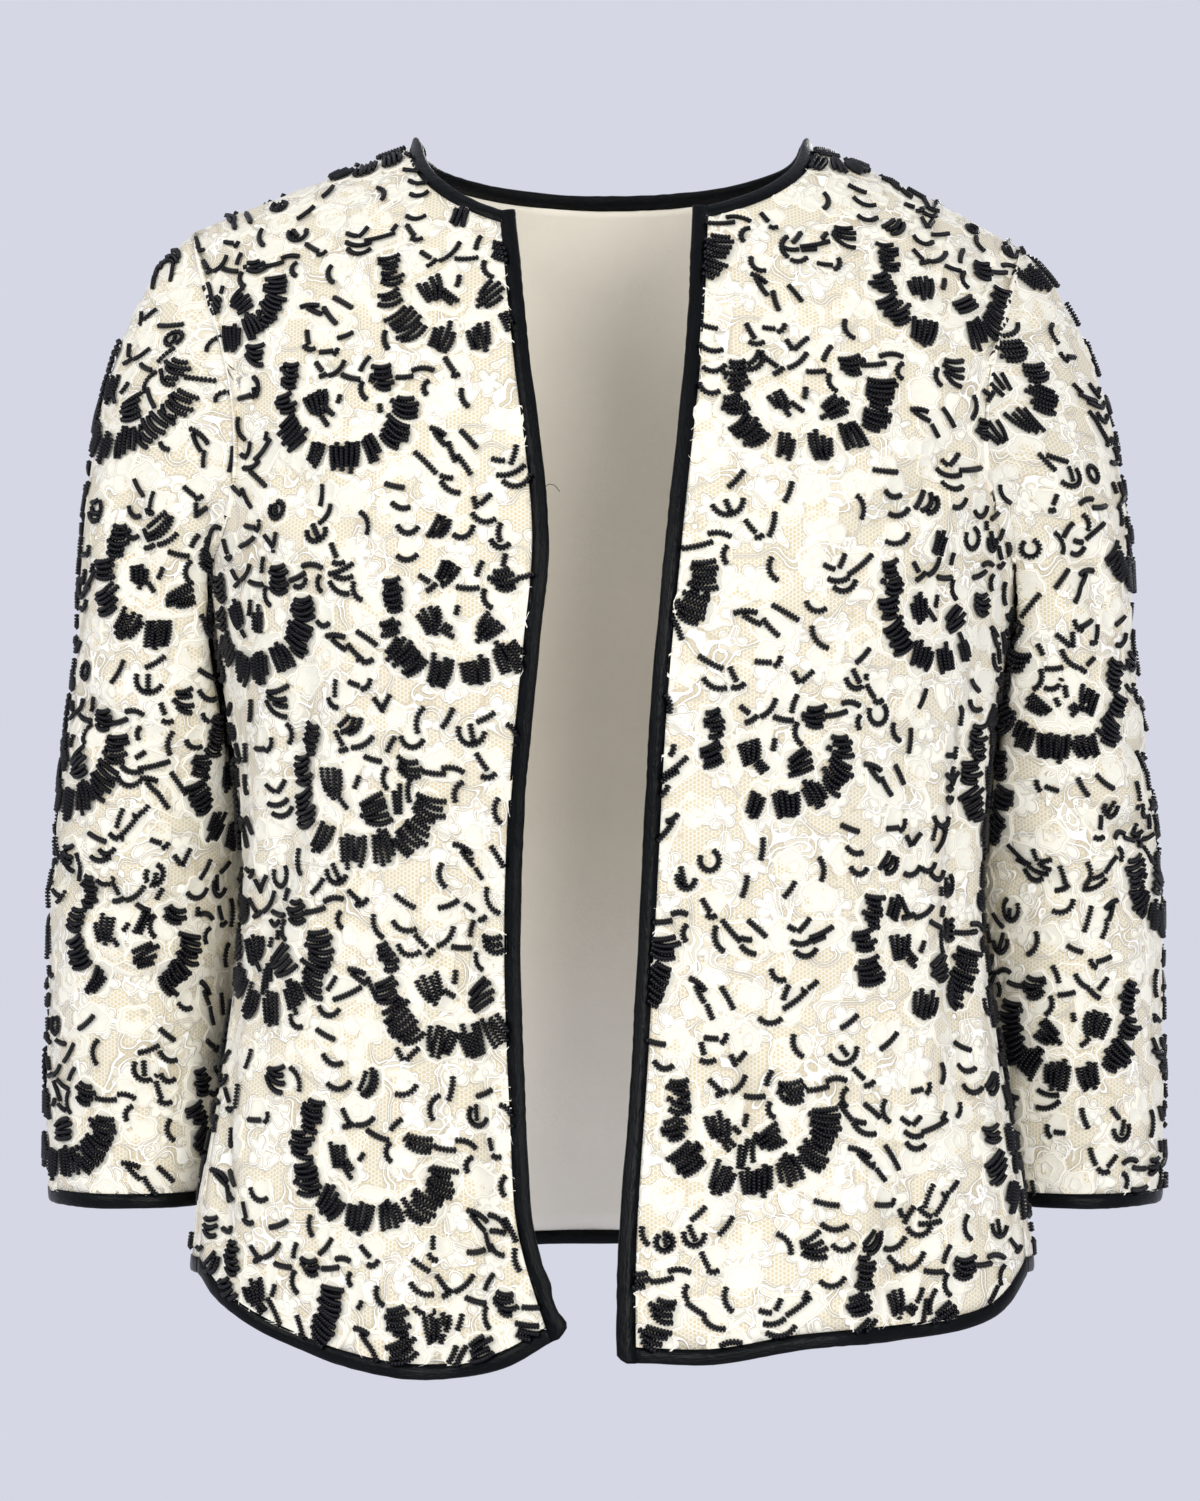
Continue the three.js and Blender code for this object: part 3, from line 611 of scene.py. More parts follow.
def half_panel(side, is_back):
    """The columns of half a panel: points on the body with its folds, and their flat places."""
    folds = BACK_FOLDS if is_back else side.folds
    points, flats = [], []
    for share, top in half_columns(side, is_back):
        hem = read(BACK_HEM, side.sign * share)[0] if is_back else read(side.hem, share)[0]
        path = column_path(side, share, top, hem + EDGE_INSET, is_back)
        rows = BACK_ROWS if is_back else FRONT_ROWS
        column, flat = [], []
        for degrees, z in step_along(side, path, rows, ROW_CROWDING):
            point = body_point(side, degrees, z)
            x = point.x if is_back else abs(point.x)
            depth = fold_depth(folds, x, z)
            column.append(point + body_normal(side, degrees, z) * depth)
            flat.append(flat_place(side, degrees, z, is_back))
        points.append(column)
        flats.append(flat)
    return points, flats


def creased(cloth):
    """The same cloth with its creases, which die away at its edges."""
    creases = [crease for crease in CREASES if crease.piece == cloth.name]
    last, top = len(cloth.points) - 1, len(cloth.points[0]) - 1
    points = []
    for i, column in enumerate(cloth.points):
        moved = []
        for j, point in enumerate(column):
            edge = ease(min(i, last - i) / CREASE_FREE) * ease(min(j, top - j) / CREASE_FREE)
            depth = sum(crease_depth(crease, *cloth.flats[i][j]) for crease in creases)
            moved.append(point + cloth.normal(i, j) * depth * edge)
        points.append(moved)
    return Cloth(cloth.name, points, cloth.flats)


def crease_depth(crease, u, v):
    """How far a crease moves its cloth out at a flat place: a trough between two soft lips."""
    turn = math.radians(crease.turn)
    du, dv = u - crease.u, v - crease.v
    along = (du * math.cos(turn) + dv * math.sin(turn)) / (crease.length / 2)
    across = (dv * math.cos(turn) - du * math.sin(turn)) / crease.width
    across += crease.bow * along * along
    lip = math.exp(-(((abs(across) - CREASE_LIP_AWAY) / CREASE_LIP_WIDTH) ** 2))
    return crease.depth * math.exp(-(along**4)) * (math.exp(-(across**2)) - CREASE_LIP * lip)


def sleeve_ring(side, z, count):
    """A sleeve's level ring, held clear of the body's side."""
    x0, y0, half_x, half_y = read(SLEEVE_SECTIONS, z)
    section = body_at(z)
    ring = []
    for k in range(count):
        turn = 2 * math.pi * k / count
        y = y0 - half_y * math.sin(turn)
        free = x0 + side.sleeve_shift + half_x * math.cos(turn)
        ahead = y < section.widest
        reach = section.widest - section.front if ahead else section.back - section.widest
        deep = min(abs(y - section.widest) / reach, 1.0) ** section.power
        limit = section.half * (1 - deep) ** (1 / section.power) + SLEEVE_CLEARANCE
        x = 0.5 * (free + limit + math.hypot(free - limit, SLEEVE_SOFTNESS))
        ring.append(Vector((side.sign * x, y, z)))
    return ring


def bezier(a, b, c, d, t):
    return a * (1 - t) ** 3 + b * 3 * t * (1 - t) ** 2 + c * 3 * t * t * (1 - t) + d * t**3


def sleeve_cloth(side, front_edge, back_edge):
    """A sleeve from its cuff up to the armhole, opened along the seam under the arm."""
    loop = front_edge + back_edge[-2:0:-1]
    count = len(loop)
    rings = [
        sleeve_ring(side, mix(CUFF_LEVEL, CAP_LEVEL, k / SLEEVE_ROWS), count)
        for k in range(SLEEVE_ROWS + 1)
    ]
    foot_ring = rings[-1]
    rulings = []
    for k, (foot, head) in enumerate(zip(foot_ring, loop)):
        turn = 2 * math.pi * k / count
        inwards = math.sin(turn) * (CAP_IN_FRONT if math.sin(turn) > 0 else CAP_IN_BACK)
        fall = side.slope * 0.5 * (1 + math.cos(turn))
        way = Vector((side.sign, inwards, -fall)).normalized()
        span = (foot - head).length
        lift = foot + Vector((0, 0, CAP_RISE * span))
        reach = head + way * CAP_REACH * span - Vector((0, 0, CAP_FALL * span))
        rulings.append((foot, lift, reach, head))
    for k in range(1, CAP_ROWS + 1):
        rings.append([bezier(*ruling, k / CAP_ROWS) for ruling in rulings])
    order = [(count // 2 + k) % count for k in range(count + 1)]
    points = [[ring[k] for ring in rings] for k in order]
    girths = []
    for ring in rings[: SLEEVE_ROWS + 1]:
        steps = [(ring[b] - ring[a]).length for a, b in zip(order, order[1:])]
        along = np.concatenate([[0.0], np.cumsum(steps)])
        girths.append(along - along[count // 2])
    flats = []
    for k, column in enumerate(points):
        flat = [(girths[j][k], column[j].z) for j in range(SLEEVE_ROWS + 1)]
        height = CAP_LEVEL
        for low, high in zip(column[SLEEVE_ROWS:], column[SLEEVE_ROWS + 1 :]):
            height += (high - low).length
            flat.append((girths[-1][k], height))
        flats.append(flat)
    return Cloth(f"sleeve_{side.name}", points, flats)


@lru_cache(maxsize=None)
def garment():
    """Every piece of cloth, by name."""
    halves = {}
    pieces = {}
    for side in (LEFT, RIGHT):
        points, flats = half_panel(side, False)
        pieces[f"front_{side.name}"] = Cloth(f"front_{side.name}", points, flats)
        halves[side.name] = half_panel(side, True)
    right, left = halves["right"], halves["left"]
    pieces["back"] = Cloth(
        "back", right[0][::-1] + left[0][1:], right[1][::-1] + left[1][1:]
    )
    for side in (LEFT, RIGHT):
        steps = FRONT_STEPS[2]
        front_edge = [column[-1] for column in pieces[f"front_{side.name}"].points[-steps - 1 :]]
        back_edge = [column[-1] for column in halves[side.name][0][-steps - 1 :]]
        pieces[f"sleeve_{side.name}"] = sleeve_cloth(side, front_edge, back_edge)
    return {name: creased(cloth) for name, cloth in pieces.items()}


def finished(bm, name, materials):
    """A new object at the origin from a bmesh, riding on the body."""
    mesh = bpy.data.meshes.new(name)
    bm.to_mesh(mesh)
    bm.free()
    return placed(mesh, name, materials)


def placed(mesh, name, materials):
    mesh.polygons.foreach_set("use_smooth", [True] * len(mesh.polygons))
    for material in materials:
        mesh.materials.append(material)
    piece = bpy.data.objects.new(name, mesh)
    bpy.context.scene.collection.objects.link(piece)
    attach(piece, BODY)
    return piece


def cloth_mesh(cloth, depth=0.0):
    """A grid laid on the cloth, with its flat places as the UV map."""
    across, up = len(cloth.points) - 1, len(cloth.points[0]) - 1
    bm = bmesh.new()
    bmesh.ops.create_grid(bm, x_segments=across, y_segments=up, size=1)
    uv = bm.loops.layers.uv.new("cloth")
    steps = {}
    for vert in bm.verts:
        i, j = round((vert.co.x + 1) / 2 * across), round((vert.co.y + 1) / 2 * up)
        steps[vert] = (i, j)
        vert.co = cloth.points[i][j] - cloth.normal(i, j) * depth
    for face in bm.faces:
        for loop in face.loops:
            i, j = steps[loop.vert]
            loop[uv].uv = cloth.flats[i][j]
    if cloth.name.startswith("sleeve"):
        bmesh.ops.remove_doubles(bm, verts=bm.verts, dist=MERGE)
    bm.normal_update()
    face = next(iter(bm.faces))
    i, j = steps[face.verts[0]]
    if face.normal.dot(cloth.normal(i, j)) < 0:
        bmesh.ops.reverse_faces(bm, faces=bm.faces)
    return bm


def give_wall(piece, thickness):
    """Solid cloth, grown inwards from the outer face; the inner face takes the second material."""
    wall = piece.modifiers.new("wall", "SOLIDIFY")
    wall.thickness = thickness
    wall.offset = -1
    wall.material_offset = 1
    return wall


def edge_stations(edge, closes=False, first=None, last=None):
    """(point, way out of the cloth, normal) along an edge of (point, normal, inner point).

    At the ends the way out follows the edge next to it, so that two bindings meet with one gap.
    """
    end = len(edge) - 1
    stations = []
    for k, (point, normal, inner) in enumerate(edge):
        before = edge[(k - 1) % len(edge)] if closes else edge[max(k - 1, 0)]
        after = edge[(k + 1) % len(edge)] if closes else edge[min(k + 1, end)]
        along = (after[0] - before[0]).normalized()
        out = along.cross(normal).normalized()
        if out.dot(point - inner) < 0:
            out.negate()
        follow = first if k == 0 else last if k == end else None
        if follow and not closes:
            way = follow.normalized()
            out = way / way.cross(along).length
        stations.append((point, out, normal))
    return stations


def edge_point(cloth, i, j, di, dj):
    return cloth.points[i][j], cloth.normal(i, j), cloth.points[i + di][j + dj]


def stretched(end, way):
    point, normal, inner = end
    shift = way.normalized() * EDGE_INSET
    return point + shift, normal, inner + shift


def front_edges(cloth):
    """Stations down a front edge and along its hem, and the way up out of the neck corner."""
    last = len(cloth.points) - 1
    top = len(cloth.points[0]) - 1
    hem = [edge_point(cloth, i, 0, 0, 1) for i in range(last + 1)]
    lead = [edge_point(cloth, 0, j, 1, 0) for j in range(top + 1)]
    down = lead[0][0] - lead[1][0]
    up = lead[top][0] - lead[top - 1][0]
    side_down = cloth.points[last][0] - cloth.points[last][1]
    lead = [stretched(lead[0], down)] + lead[1:-1] + [stretched(lead[top], up)]
    return edge_stations(lead), edge_stations(hem, first=down, last=side_down), up


def neck_edge(pieces, right_up, left_up):
    right, left, back = pieces["front_right"], pieces["front_left"], pieces["back"]
    top = FRONT_ROWS
    right_edge = [edge_point(right, i, top, 0, -1) for i in range(FRONT_STEPS[0] + 1)]
    left_edge = [edge_point(left, i, top, 0, -1) for i in range(FRONT_STEPS[0] + 1)]
    centre = len(back.points) // 2
    back_range = range(centre - BACK_STEPS[0] + 1, centre + BACK_STEPS[0])
    back_edge = [edge_point(back, i, BACK_ROWS, 0, -1) for i in back_range]
    edge = right_edge + back_edge + left_edge[::-1]
    return edge_stations(edge, first=right_up, last=left_up)


def back_hem_edge(back):
    last = len(back.points) - 1
    edge = [edge_point(back, i, 0, 0, 1) for i in range(last + 1)]
    first_way = back.points[0][0] - back.points[0][1]
    last_way = back.points[last][0] - back.points[last][1]
    return edge_stations(edge, first=first_way, last=last_way)


def cuff_edge(sleeve):
    edge = [edge_point(sleeve, i, 0, 0, 1) for i in range(len(sleeve.points) - 1)]
    return edge_stations(edge, closes=True)


# The flat places of roses, in columns down each piece: the first one, how far the column
# drifts sideways for each metre of height, and the step down to the next.
RoseColumn = namedtuple("RoseColumn", "piece u drift first step")
ROSE_COLUMNS = [
    RoseColumn("front_left", 0.085, 0.074, -0.120, 0.156),
    RoseColumn("front_left", 0.152, 0.030, -0.065, 0.148),
    RoseColumn("front_left", 0.018, 0.060, -0.045, 0.156),
    RoseColumn("front_left", 0.208, 0.0, -0.291, 0.156),
    RoseColumn("front_right", -0.062, 0.0, -0.068, 0.151),
    RoseColumn("front_right", -0.116, -0.033, -0.126, 0.163),
    RoseColumn("front_right", -0.180, -0.080, -0.068, 0.147),
    RoseColumn("front_right", -0.235, 0.0, -0.300, 0.150),
    RoseColumn("back", 0.0, 0.0, -0.085, 0.156),
    RoseColumn("back", 0.078, 0.02, -0.160, 0.156),
    RoseColumn("back", -0.078, -0.02, -0.165, 0.156),
    RoseColumn("back", 0.156, 0.03, -0.085, 0.152),
    RoseColumn("back", -0.156, -0.03, -0.090, 0.152),
    RoseColumn("back", 0.222, 0.0, -0.250, 0.152),
    RoseColumn("back", -0.222, 0.0, -0.245, 0.152),
    RoseColumn("sleeve_left", 0.076, 0.0, -0.105, 0.146),
    RoseColumn("sleeve_left", 0.016, 0.0, -0.175, 0.148),
    RoseColumn("sleeve_left", -0.050, 0.0, -0.100, 0.148),
    RoseColumn("sleeve_left", -0.112, 0.0, -0.230, 0.148),
    RoseColumn("sleeve_left", 0.132, 0.0, -0.290, 0.150),
    RoseColumn("sleeve_right", 0.075, 0.0, -0.200, 0.158),
    RoseColumn("sleeve_right", 0.030, 0.0, -0.115, 0.160),
    RoseColumn("sleeve_right", -0.045, 0.0, -0.185, 0.150),
    RoseColumn("sleeve_right", -0.110, 0.0, -0.120, 0.150),
    RoseColumn("sleeve_right", 0.130, 0.0, -0.285, 0.150),
]

# One rose, charted in millimetres from its middle. A block is a petal filled with strings
# side by side: its middle, the heading of its strings, how many, the beads on each, how far
# they fan out and how far they bow.
Block = namedtuple("Block", "u v turn rows beads fan bow")
ROSE_BLOCKS = [
    Block(-29.5, 17, 4, 6, 7, 3, 60), Block(-33, 3.5, 14, 4, 8, 4, 50),
    Block(-28.5, -10, 30, 6, 9, 3, 40), Block(-15, -19.5, 68, 4, 9, 5, 20),
    Block(0, -22, 90, 5, 9, 4, 0), Block(14.5, -20, -70, 4, 9, 6, -10),
    Block(26.5, -13, -30, 6, 9, 4, 40), Block(31.5, -0.5, -8, 5, 9, 5, 50),
    Block(20, 14, -4, 4, 8, 6, 70), Block(-15, 3, 100, 4, 8, 9, 20),
    Block(-9.5, -3.5, -48, 3, 6, 8, 20), Block(9, -5, 27, 4, 9, 7, 10),
]
BLOCK_LEFT_OUT = 0.08
ROSE_REACH = 0.03
ROW_STEP = 2.6

# A string of beads: its middle, its heading, how far it turns from end to end, and its count
Tick = namedtuple("Tick", "u v turn bend beads")
ROSE_TICKS = [
    Tick(-14, 20, -50, 10, 5), Tick(-11, 16.5, 30, 40, 4), Tick(-3, 20, 40, 60, 8),
    Tick(4, 14, -8, 24, 7), Tick(10, 22, 60, -30, 5), Tick(9.5, 8, 92, -120, 7),
    Tick(31, 13.5, 6, 20, 8), Tick(42, 9, 70, -130, 6), Tick(40, 17, -10, -60, 7),
    Tick(-3, 5, 75, 30, 4),
]

# Small groups of strings, and where a repeat has them round its rose
SPRIGS = {
    "hook": [Tick(-2, 1.6, -54, 14, 5), Tick(1.9, -2.5, 20, 100, 4)],
    "cup": [Tick(0, 0, 0, 120, 8)],
    "sickle": [Tick(0, 0, 92, -100, 8)],
    "check": [Tick(-2.6, -0.4, -62, 0, 4), Tick(1.6, 1, 52, -10, 6)],
    "dash": [Tick(0, 0, 0, 26, 7)],
    "fan": [
        Tick(-1.5, 4.6, 34, 40, 7), Tick(0, 1.9, 18, 60, 7), Tick(0.5, -0.9, 6, 75, 8),
        Tick(1, -3.7, -4, 80, 9),
    ],
    "horseshoe": [Tick(0, 0, 0, 210, 12), Tick(-0.6, 1.6, -72, 10, 5)],
    "comb": [Tick(-2, 12, -20, 16, 7), Tick(0.5, 2, -8, 95, 8), Tick(3, -7.5, 8, 130, 8)],
    "swoosh": [
        Tick(-5, 5, -40, -12, 9), Tick(-2.5, 2.6, -50, 12, 8), Tick(4.5, -6, -30, 80, 8),
        Tick(4, -1.4, -8, 40, 4), Tick(10, 3, -50, -8, 7),
    ],
    "feather": [
        Tick(4, 1.4, 22, 16, 10), Tick(-7, -3, 6, 70, 8), Tick(-5, 4.5, 56, 20, 5),
        Tick(-10.5, 2.4, -24, 30, 4), Tick(-5, -8, 12, 120, 9), Tick(8, 6, 60, 10, 4),
        Tick(1, -1.6, 14, -8, 6),
    ],
    "branch": [
        Tick(1, 1, 55, 24, 9), Tick(-5, 4, 78, -20, 6), Tick(5, 7.5, 40, 60, 6),
        Tick(-4.5, -4, -16, 60, 6), Tick(-8, -11, 10, 130, 8),
    ],
    "vee": [
        Tick(-4, 5, -22, -40, 7), Tick(-3, 1.5, -42, 20, 7), Tick(3.5, -4.5, -60, 20, 7),
        Tick(8, -7.5, -14, 80, 6), Tick(12, 1, -50, -6, 8),
    ],
    "bowl": [
        Tick(0, 4.6, -4, 20, 7), Tick(0, 1.6, 0, 90, 8), Tick(0.4, -1.4, 0, 120, 9),
    ],
    "boat": [Tick(0, 2.6, -16, 20, 8), Tick(0.5, -1.8, -4, 85, 10)],
    "loop": [Tick(0, 0, 0, 335, 15), Tick(0, -0.5, 70, 50, 4)],
    "bud": [Tick(-2.4, 0, 94, 20, 6), Tick(0, 0.8, 92, 8, 8), Tick(2.4, 0, 88, -12, 7)],
    "fork": [Tick(0, 3, 0, 150, 9), Tick(0.5, -3.8, 80, 0, 3)],
    "slip": [Tick(-3, -2, 86, -6, 8), Tick(0, -0.5, 84, 0, 8), Tick(4, 3, 78, -50, 8)],
}
Sprig = namedtuple("Sprig", "kind u v turn")
SPRIGS_ROUND_ROSE = [
    Sprig("hook", 54, 18, 0), Sprig("sickle", 60, 3, 0), Sprig("horseshoe", 44, 28, 0),
    Sprig("vee", 52, -19, 0), Sprig("comb", 30, -50, 0), Sprig("dash", -15, -40, 60),
    Sprig("dash", -25, -56, 64), Sprig("sickle", 12, -52, 180), Sprig("loop", -42, -45, 30),
    Sprig("swoosh", -31, -78, 0), Sprig("feather", 8, -80, 0), Sprig("cup", -14, -97, -20),
    Sprig("check", 68, -46, 0), Sprig("hook", 58, -38, 40),
    Sprig("bowl", 50, -56, 50), Sprig("cup", 63, -60, 20), Sprig("fork", 78, -68, 0),
    Sprig("bud", 50, -74, -20), Sprig("slip", 70, -88, 0), Sprig("fan", -52, 28, -14),
    Sprig("hook", -57, 10, 60), Sprig("cup", 31, -70, 0), Sprig("fan", 60, -14, 160),
    Sprig("dash", 2, 34, 10), Sprig("hook", -18, 34, -20), Sprig("sickle", 22, 33, 0),
    Sprig("branch", -62, -28, 0), Sprig("dash", 48, 40, 34),
]

# White clothwork round the same middle
Petal = namedtuple("Petal", "u v turn length width")
ROSE_PETALS = [
    Petal(-7, 9, 60, 15, 9), Petal(14, 6, -10, 15, 9), Petal(5, -12, 8, 24, 8),
    Petal(-22, 0, 84, 22, 7),
]
SPRIG_PETALS = {
    "swoosh": Petal(2, -2, -42, 26, 15), "feather": Petal(1, 0, 14, 32, 16),
    "vee": Petal(4, -3, -42, 28, 14), "branch": Petal(-1, -1, 56, 28, 14),
    "bowl": Petal(0, 0, 4, 17, 13), "boat": Petal(1, 2, -10, 19, 12),
    "loop": Petal(0, 0, 40, 15, 13), "bud": Petal(0, 0, 92, 16, 11),
    "slip": Petal(0, 0, 84, 18, 12), "fork": Petal(0, 6, 90, 12, 12),
    "cup": Petal(0, 3.4, 80, 11, 11), "hook": Petal(1.5, 3, 40, 13, 11),
    "fan": Petal(0, 2, 6, 20, 15), "horseshoe": Petal(0, 1, 90, 15, 14),
}
BLOSSOMS = [
    [Petal(0, 0, 0, 19, 15)],
    [Petal(0, 0, 0, 16, 15), Petal(0.6, 0.3, 70, 7, 6)],
    [Petal(-4, 1, 25, 13, 10), Petal(4.5, -1.5, 150, 12, 10), Petal(0.5, 5, 80, 12, 9)],
]
FILL_STEP = 0.0160
FILL_CLEAR = 0.0135
FILL_HOOK_CLEAR = 0.0108
FILL_HOOK_SHARE = 0.16
FILL_KINDS = ("hook", "hook", "cup", "sickle", "sickle", "dash")
FILL_HEADINGS = (-40, 0, 0, 20, 50)
FILL_SCATTER = 0.005
FILL_TURN = 0.6

# How loosely the hand follows the chart: metres and degrees for a rose, then millimetres and
# degrees for what stands round its middle
ROSE_SCATTER = 0.003
ROSE_TURN = 13
ROSE_ACROSS = (0.82, 1.04)
ROSE_UP = (0.94, 1.08)
BLOCK_TURN = 8
BLOCK_BOW = 16
BLOCK_ROWS = (-1, 0, 0, 0, 1)
ROW_BEADS = (-2, -1, 0, 0, 1)
ROW_SLIDE = 1.3
ROW_BEND = 14
ROW_TURN = 4
TICK_SCATTER = 0.7
TICK_TURN = 8
TICK_BEND = (0.8, 1.15)
TICK_BEADS = (-1, 0, 0, 1)
SPRIG_TURN = 12
SPRIG_SCATTER = 2
SPRIG_LIFT = 0.2

# A block: how its fan turns and bends each row, how high it is padded in the middle and how
# much less towards its sides, and how far its white petal stands out all round
FAN_TURN = 0.6
FAN_BEND = 2
PAD_RISE = 0.8
PAD_FALL = 0.6
PETAL_A_BEAD = 1.5
PETAL_LONGER = 7
PETAL_WIDER = 5
BLOCK_LAYER = 0.1
PETAL_LAYERS = 0.4

# What a string needs: the share of its beads clear of others, then on the cloth
FEWEST_BEADS = 3
CLEAR_SHARE = 0.7
ON_CLOTH_SHARE = 0.5
STRING_REACH = 0.0001
STRING_CLEAR = 0.0026
SPRIG_CLEAR = 0.0042
CROSSING_CLEAR = 0.0013
TAKEN_CELL = 0.002
PETAL_SEGMENTS = 15
PETAL_SCALLOPS = 5
PETAL_TAPER = 0.2
PETAL_OVERHANG = 0.005
PETAL_LAYER = 0.0006
SCALLOP = 0.3
SCALLOP_MIDDLE = 0.6
BEAD_SWELL = 0.577
BEAD_SIT = 0.45
BEAD_FLATNESS = 0.9
BEADS_A_PIECE = 11500
BEAD_OVERLAP = 1.05


def strung(tick, pitch):
    """Flat places of a string's beads, evenly along an arc about its middle."""
    headings = [
        math.radians(tick.turn + tick.bend * ((k + 0.5) / tick.beads - 0.5))
        for k in range(tick.beads)
    ]
    steps = [(math.cos(a) * pitch, math.sin(a) * pitch) for a in headings]
    places = np.cumsum([(0.0, 0.0)] + steps, axis=0)
    middle = places.mean(axis=0)
    return [(tick.u + x - middle[0], tick.v + y - middle[1]) for x, y in places[:-1]]


class Chart:
    """Lays out one piece's strings of beads and petals in its flat cloth."""

    def __init__(self, cloth, pitch):
        self.cloth = cloth
        self.pitch = pitch / MM
        self.random = random.Random(sum(map(ord, cloth.name)))
        self.strings = []
        self.petals = []
        self.taken = {}
        low = np.min([flat for column in cloth.flats for flat in column], axis=0)
        high = np.max([flat for column in cloth.flats for flat in column], axis=0)
        self.low, self.high = low, high

    def stray(self, reach):
        return self.random.uniform(-reach, reach)

    def roses(self):
        for column in ROSE_COLUMNS:
            if column.piece != self.cloth.name:
                continue
            v = column.first
            while v + column.step < self.high[1] + ROSE_REACH:
                v += column.step
            while v > self.low[1] - ROSE_REACH:
                u = column.u + column.drift * (v - column.first)
                yield (
                    u + self.stray(ROSE_SCATTER),
                    v + self.stray(ROSE_SCATTER),
                    math.radians(self.stray(ROSE_TURN)),
                    (self.random.uniform(*ROSE_ACROSS), self.random.uniform(*ROSE_UP)),
                )
                v -= column.step

    def near(self, u, v, reach):
        cu, cv = int(u // TAKEN_CELL), int(v // TAKEN_CELL)
        steps = range(-math.ceil(reach / TAKEN_CELL), math.ceil(reach / TAKEN_CELL) + 1)
        return any(
            math.hypot(u - a, v - b) < reach
            for i in steps
            for j in steps
            for a, b in self.taken.get((cu + i, cv + j), ())
        )

    def take(self, places):
        for u, v in places:
            self.taken.setdefault((int(u // TAKEN_CELL), int(v // TAKEN_CELL)), []).append((u, v))

    def spot(self, rose, x, y):
        """The flat place of a point charted in millimetres from a rose's middle."""
        u, v, turn, scale = rose
        x, y = x * MM * scale[0], y * MM * scale[1]
        return (
            u + x * math.cos(turn) - y * math.sin(turn),
            v + x * math.sin(turn) + y * math.cos(turn),
        )

    def string(self, rose, tick, lift=0.0, clear=STRING_CLEAR):
        """Lays a string if it is on the cloth and clear of the others."""
        places = [self.spot(rose, x, y) for x, y in strung(tick, self.pitch)]
        kept = [place for place in places if not self.near(*place, clear)]
        if len(kept) < CLEAR_SHARE * len(places):
            return False
        kept = [place for place in kept if self.cloth.at(*place, reach=STRING_REACH)]
        if len(kept) < max(FEWEST_BEADS, ON_CLOTH_SHARE * len(places)):
            return False
        self.take(kept)
        self.strings.append((kept, lift))
        return True

    def petal(self, rose, petal, lift):
        u, v = self.spot(rose, petal.u, petal.v)
        heading = rose[2] + math.radians(petal.turn)
        self.petals.append((u, v, heading, petal.length * MM, petal.width * MM, lift))

    def block(self, rose, block):
        """A petal filled with strings, padded up in its middle, on a bigger white petal."""
        rows = max(3, block.rows + self.random.choice(BLOCK_ROWS))
        turn = block.turn + self.stray(BLOCK_TURN)
        bow = block.bow + self.stray(BLOCK_BOW)
        along, across = math.radians(turn), math.radians(turn + 90)
        for k in range(rows):
            off = k - (rows - 1) / 2
            slide = self.stray(ROW_SLIDE)
            x = block.u + math.cos(across) * off * ROW_STEP + math.cos(along) * slide
            y = block.v + math.sin(across) * off * ROW_STEP + math.sin(along) * slide
            beads = block.beads - int(k in (0, rows - 1)) + self.random.choice(ROW_BEADS)
            bend = bow - off * block.fan * FAN_BEND + self.stray(ROW_BEND)
            heading = turn + off * block.fan * FAN_TURN + self.stray(ROW_TURN)
            tick = Tick(x, y, heading, bend, beads)
            rise = (PAD_RISE - PAD_FALL * abs(off) / rows) * MM
            self.string(rose, tick, lift=rise, clear=CROSSING_CLEAR)
        length = block.beads * PETAL_A_BEAD + PETAL_LONGER
        width = rows * ROW_STEP + PETAL_WIDER
        self.petal(rose, Petal(block.u, block.v, turn, length, width), BLOCK_LAYER)

    def jitter(self, tick):
        return Tick(
            tick.u + self.stray(TICK_SCATTER),
            tick.v + self.stray(TICK_SCATTER),
            tick.turn + self.stray(TICK_TURN),
            tick.bend * self.random.uniform(*TICK_BEND),
            max(FEWEST_BEADS, tick.beads + self.random.choice(TICK_BEADS)),
        )

    def sprig(self, rose, sprig):
        """A small group of strings, turned and placed in the repeat, with its white petal."""
        turn = math.radians(sprig.turn + self.stray(SPRIG_TURN))
        u0 = sprig.u + self.stray(SPRIG_SCATTER)
        v0 = sprig.v + self.stray(SPRIG_SCATTER)

        def placed_at(u, v, heading):
            x = u0 + u * math.cos(turn) - v * math.sin(turn)
            y = v0 + u * math.sin(turn) + v * math.cos(turn)
            return x, y, heading + math.degrees(turn)

        middle = self.spot(rose, u0, v0)
        if not self.cloth.at(*middle) or self.near(*middle, SPRIG_CLEAR):
            return
        for k, tick in enumerate(map(self.jitter, SPRIGS[sprig.kind])):
            tick = Tick(*placed_at(tick.u, tick.v, tick.turn), tick.bend, tick.beads)
            clear = CROSSING_CLEAR if k else STRING_CLEAR
            self.string(rose, tick, self.random.uniform(0, SPRIG_LIFT) * MM, clear)
        petal = SPRIG_PETALS.get(sprig.kind)
        if petal:
            place = placed_at(petal.u, petal.v, petal.turn)
            self.petal(rose, Petal(*place, petal.length, petal.width), 0.0)

    def lay_out(self):
        roses = list(self.roses())
        for rose in roses:
            for block in ROSE_BLOCKS:
                if self.random.random() > BLOCK_LEFT_OUT:
                    self.block(rose, block)
        for rose in roses:
            for tick in ROSE_TICKS:
                self.string(rose, self.jitter(tick), clear=CROSSING_CLEAR)
            for petal in ROSE_PETALS:
                self.petal(rose, petal, PETAL_LAYERS)
        for sprig in SPRIGS_ROUND_ROSE:
            for rose in roses:
                self.sprig(rose, sprig)
        self.fill()

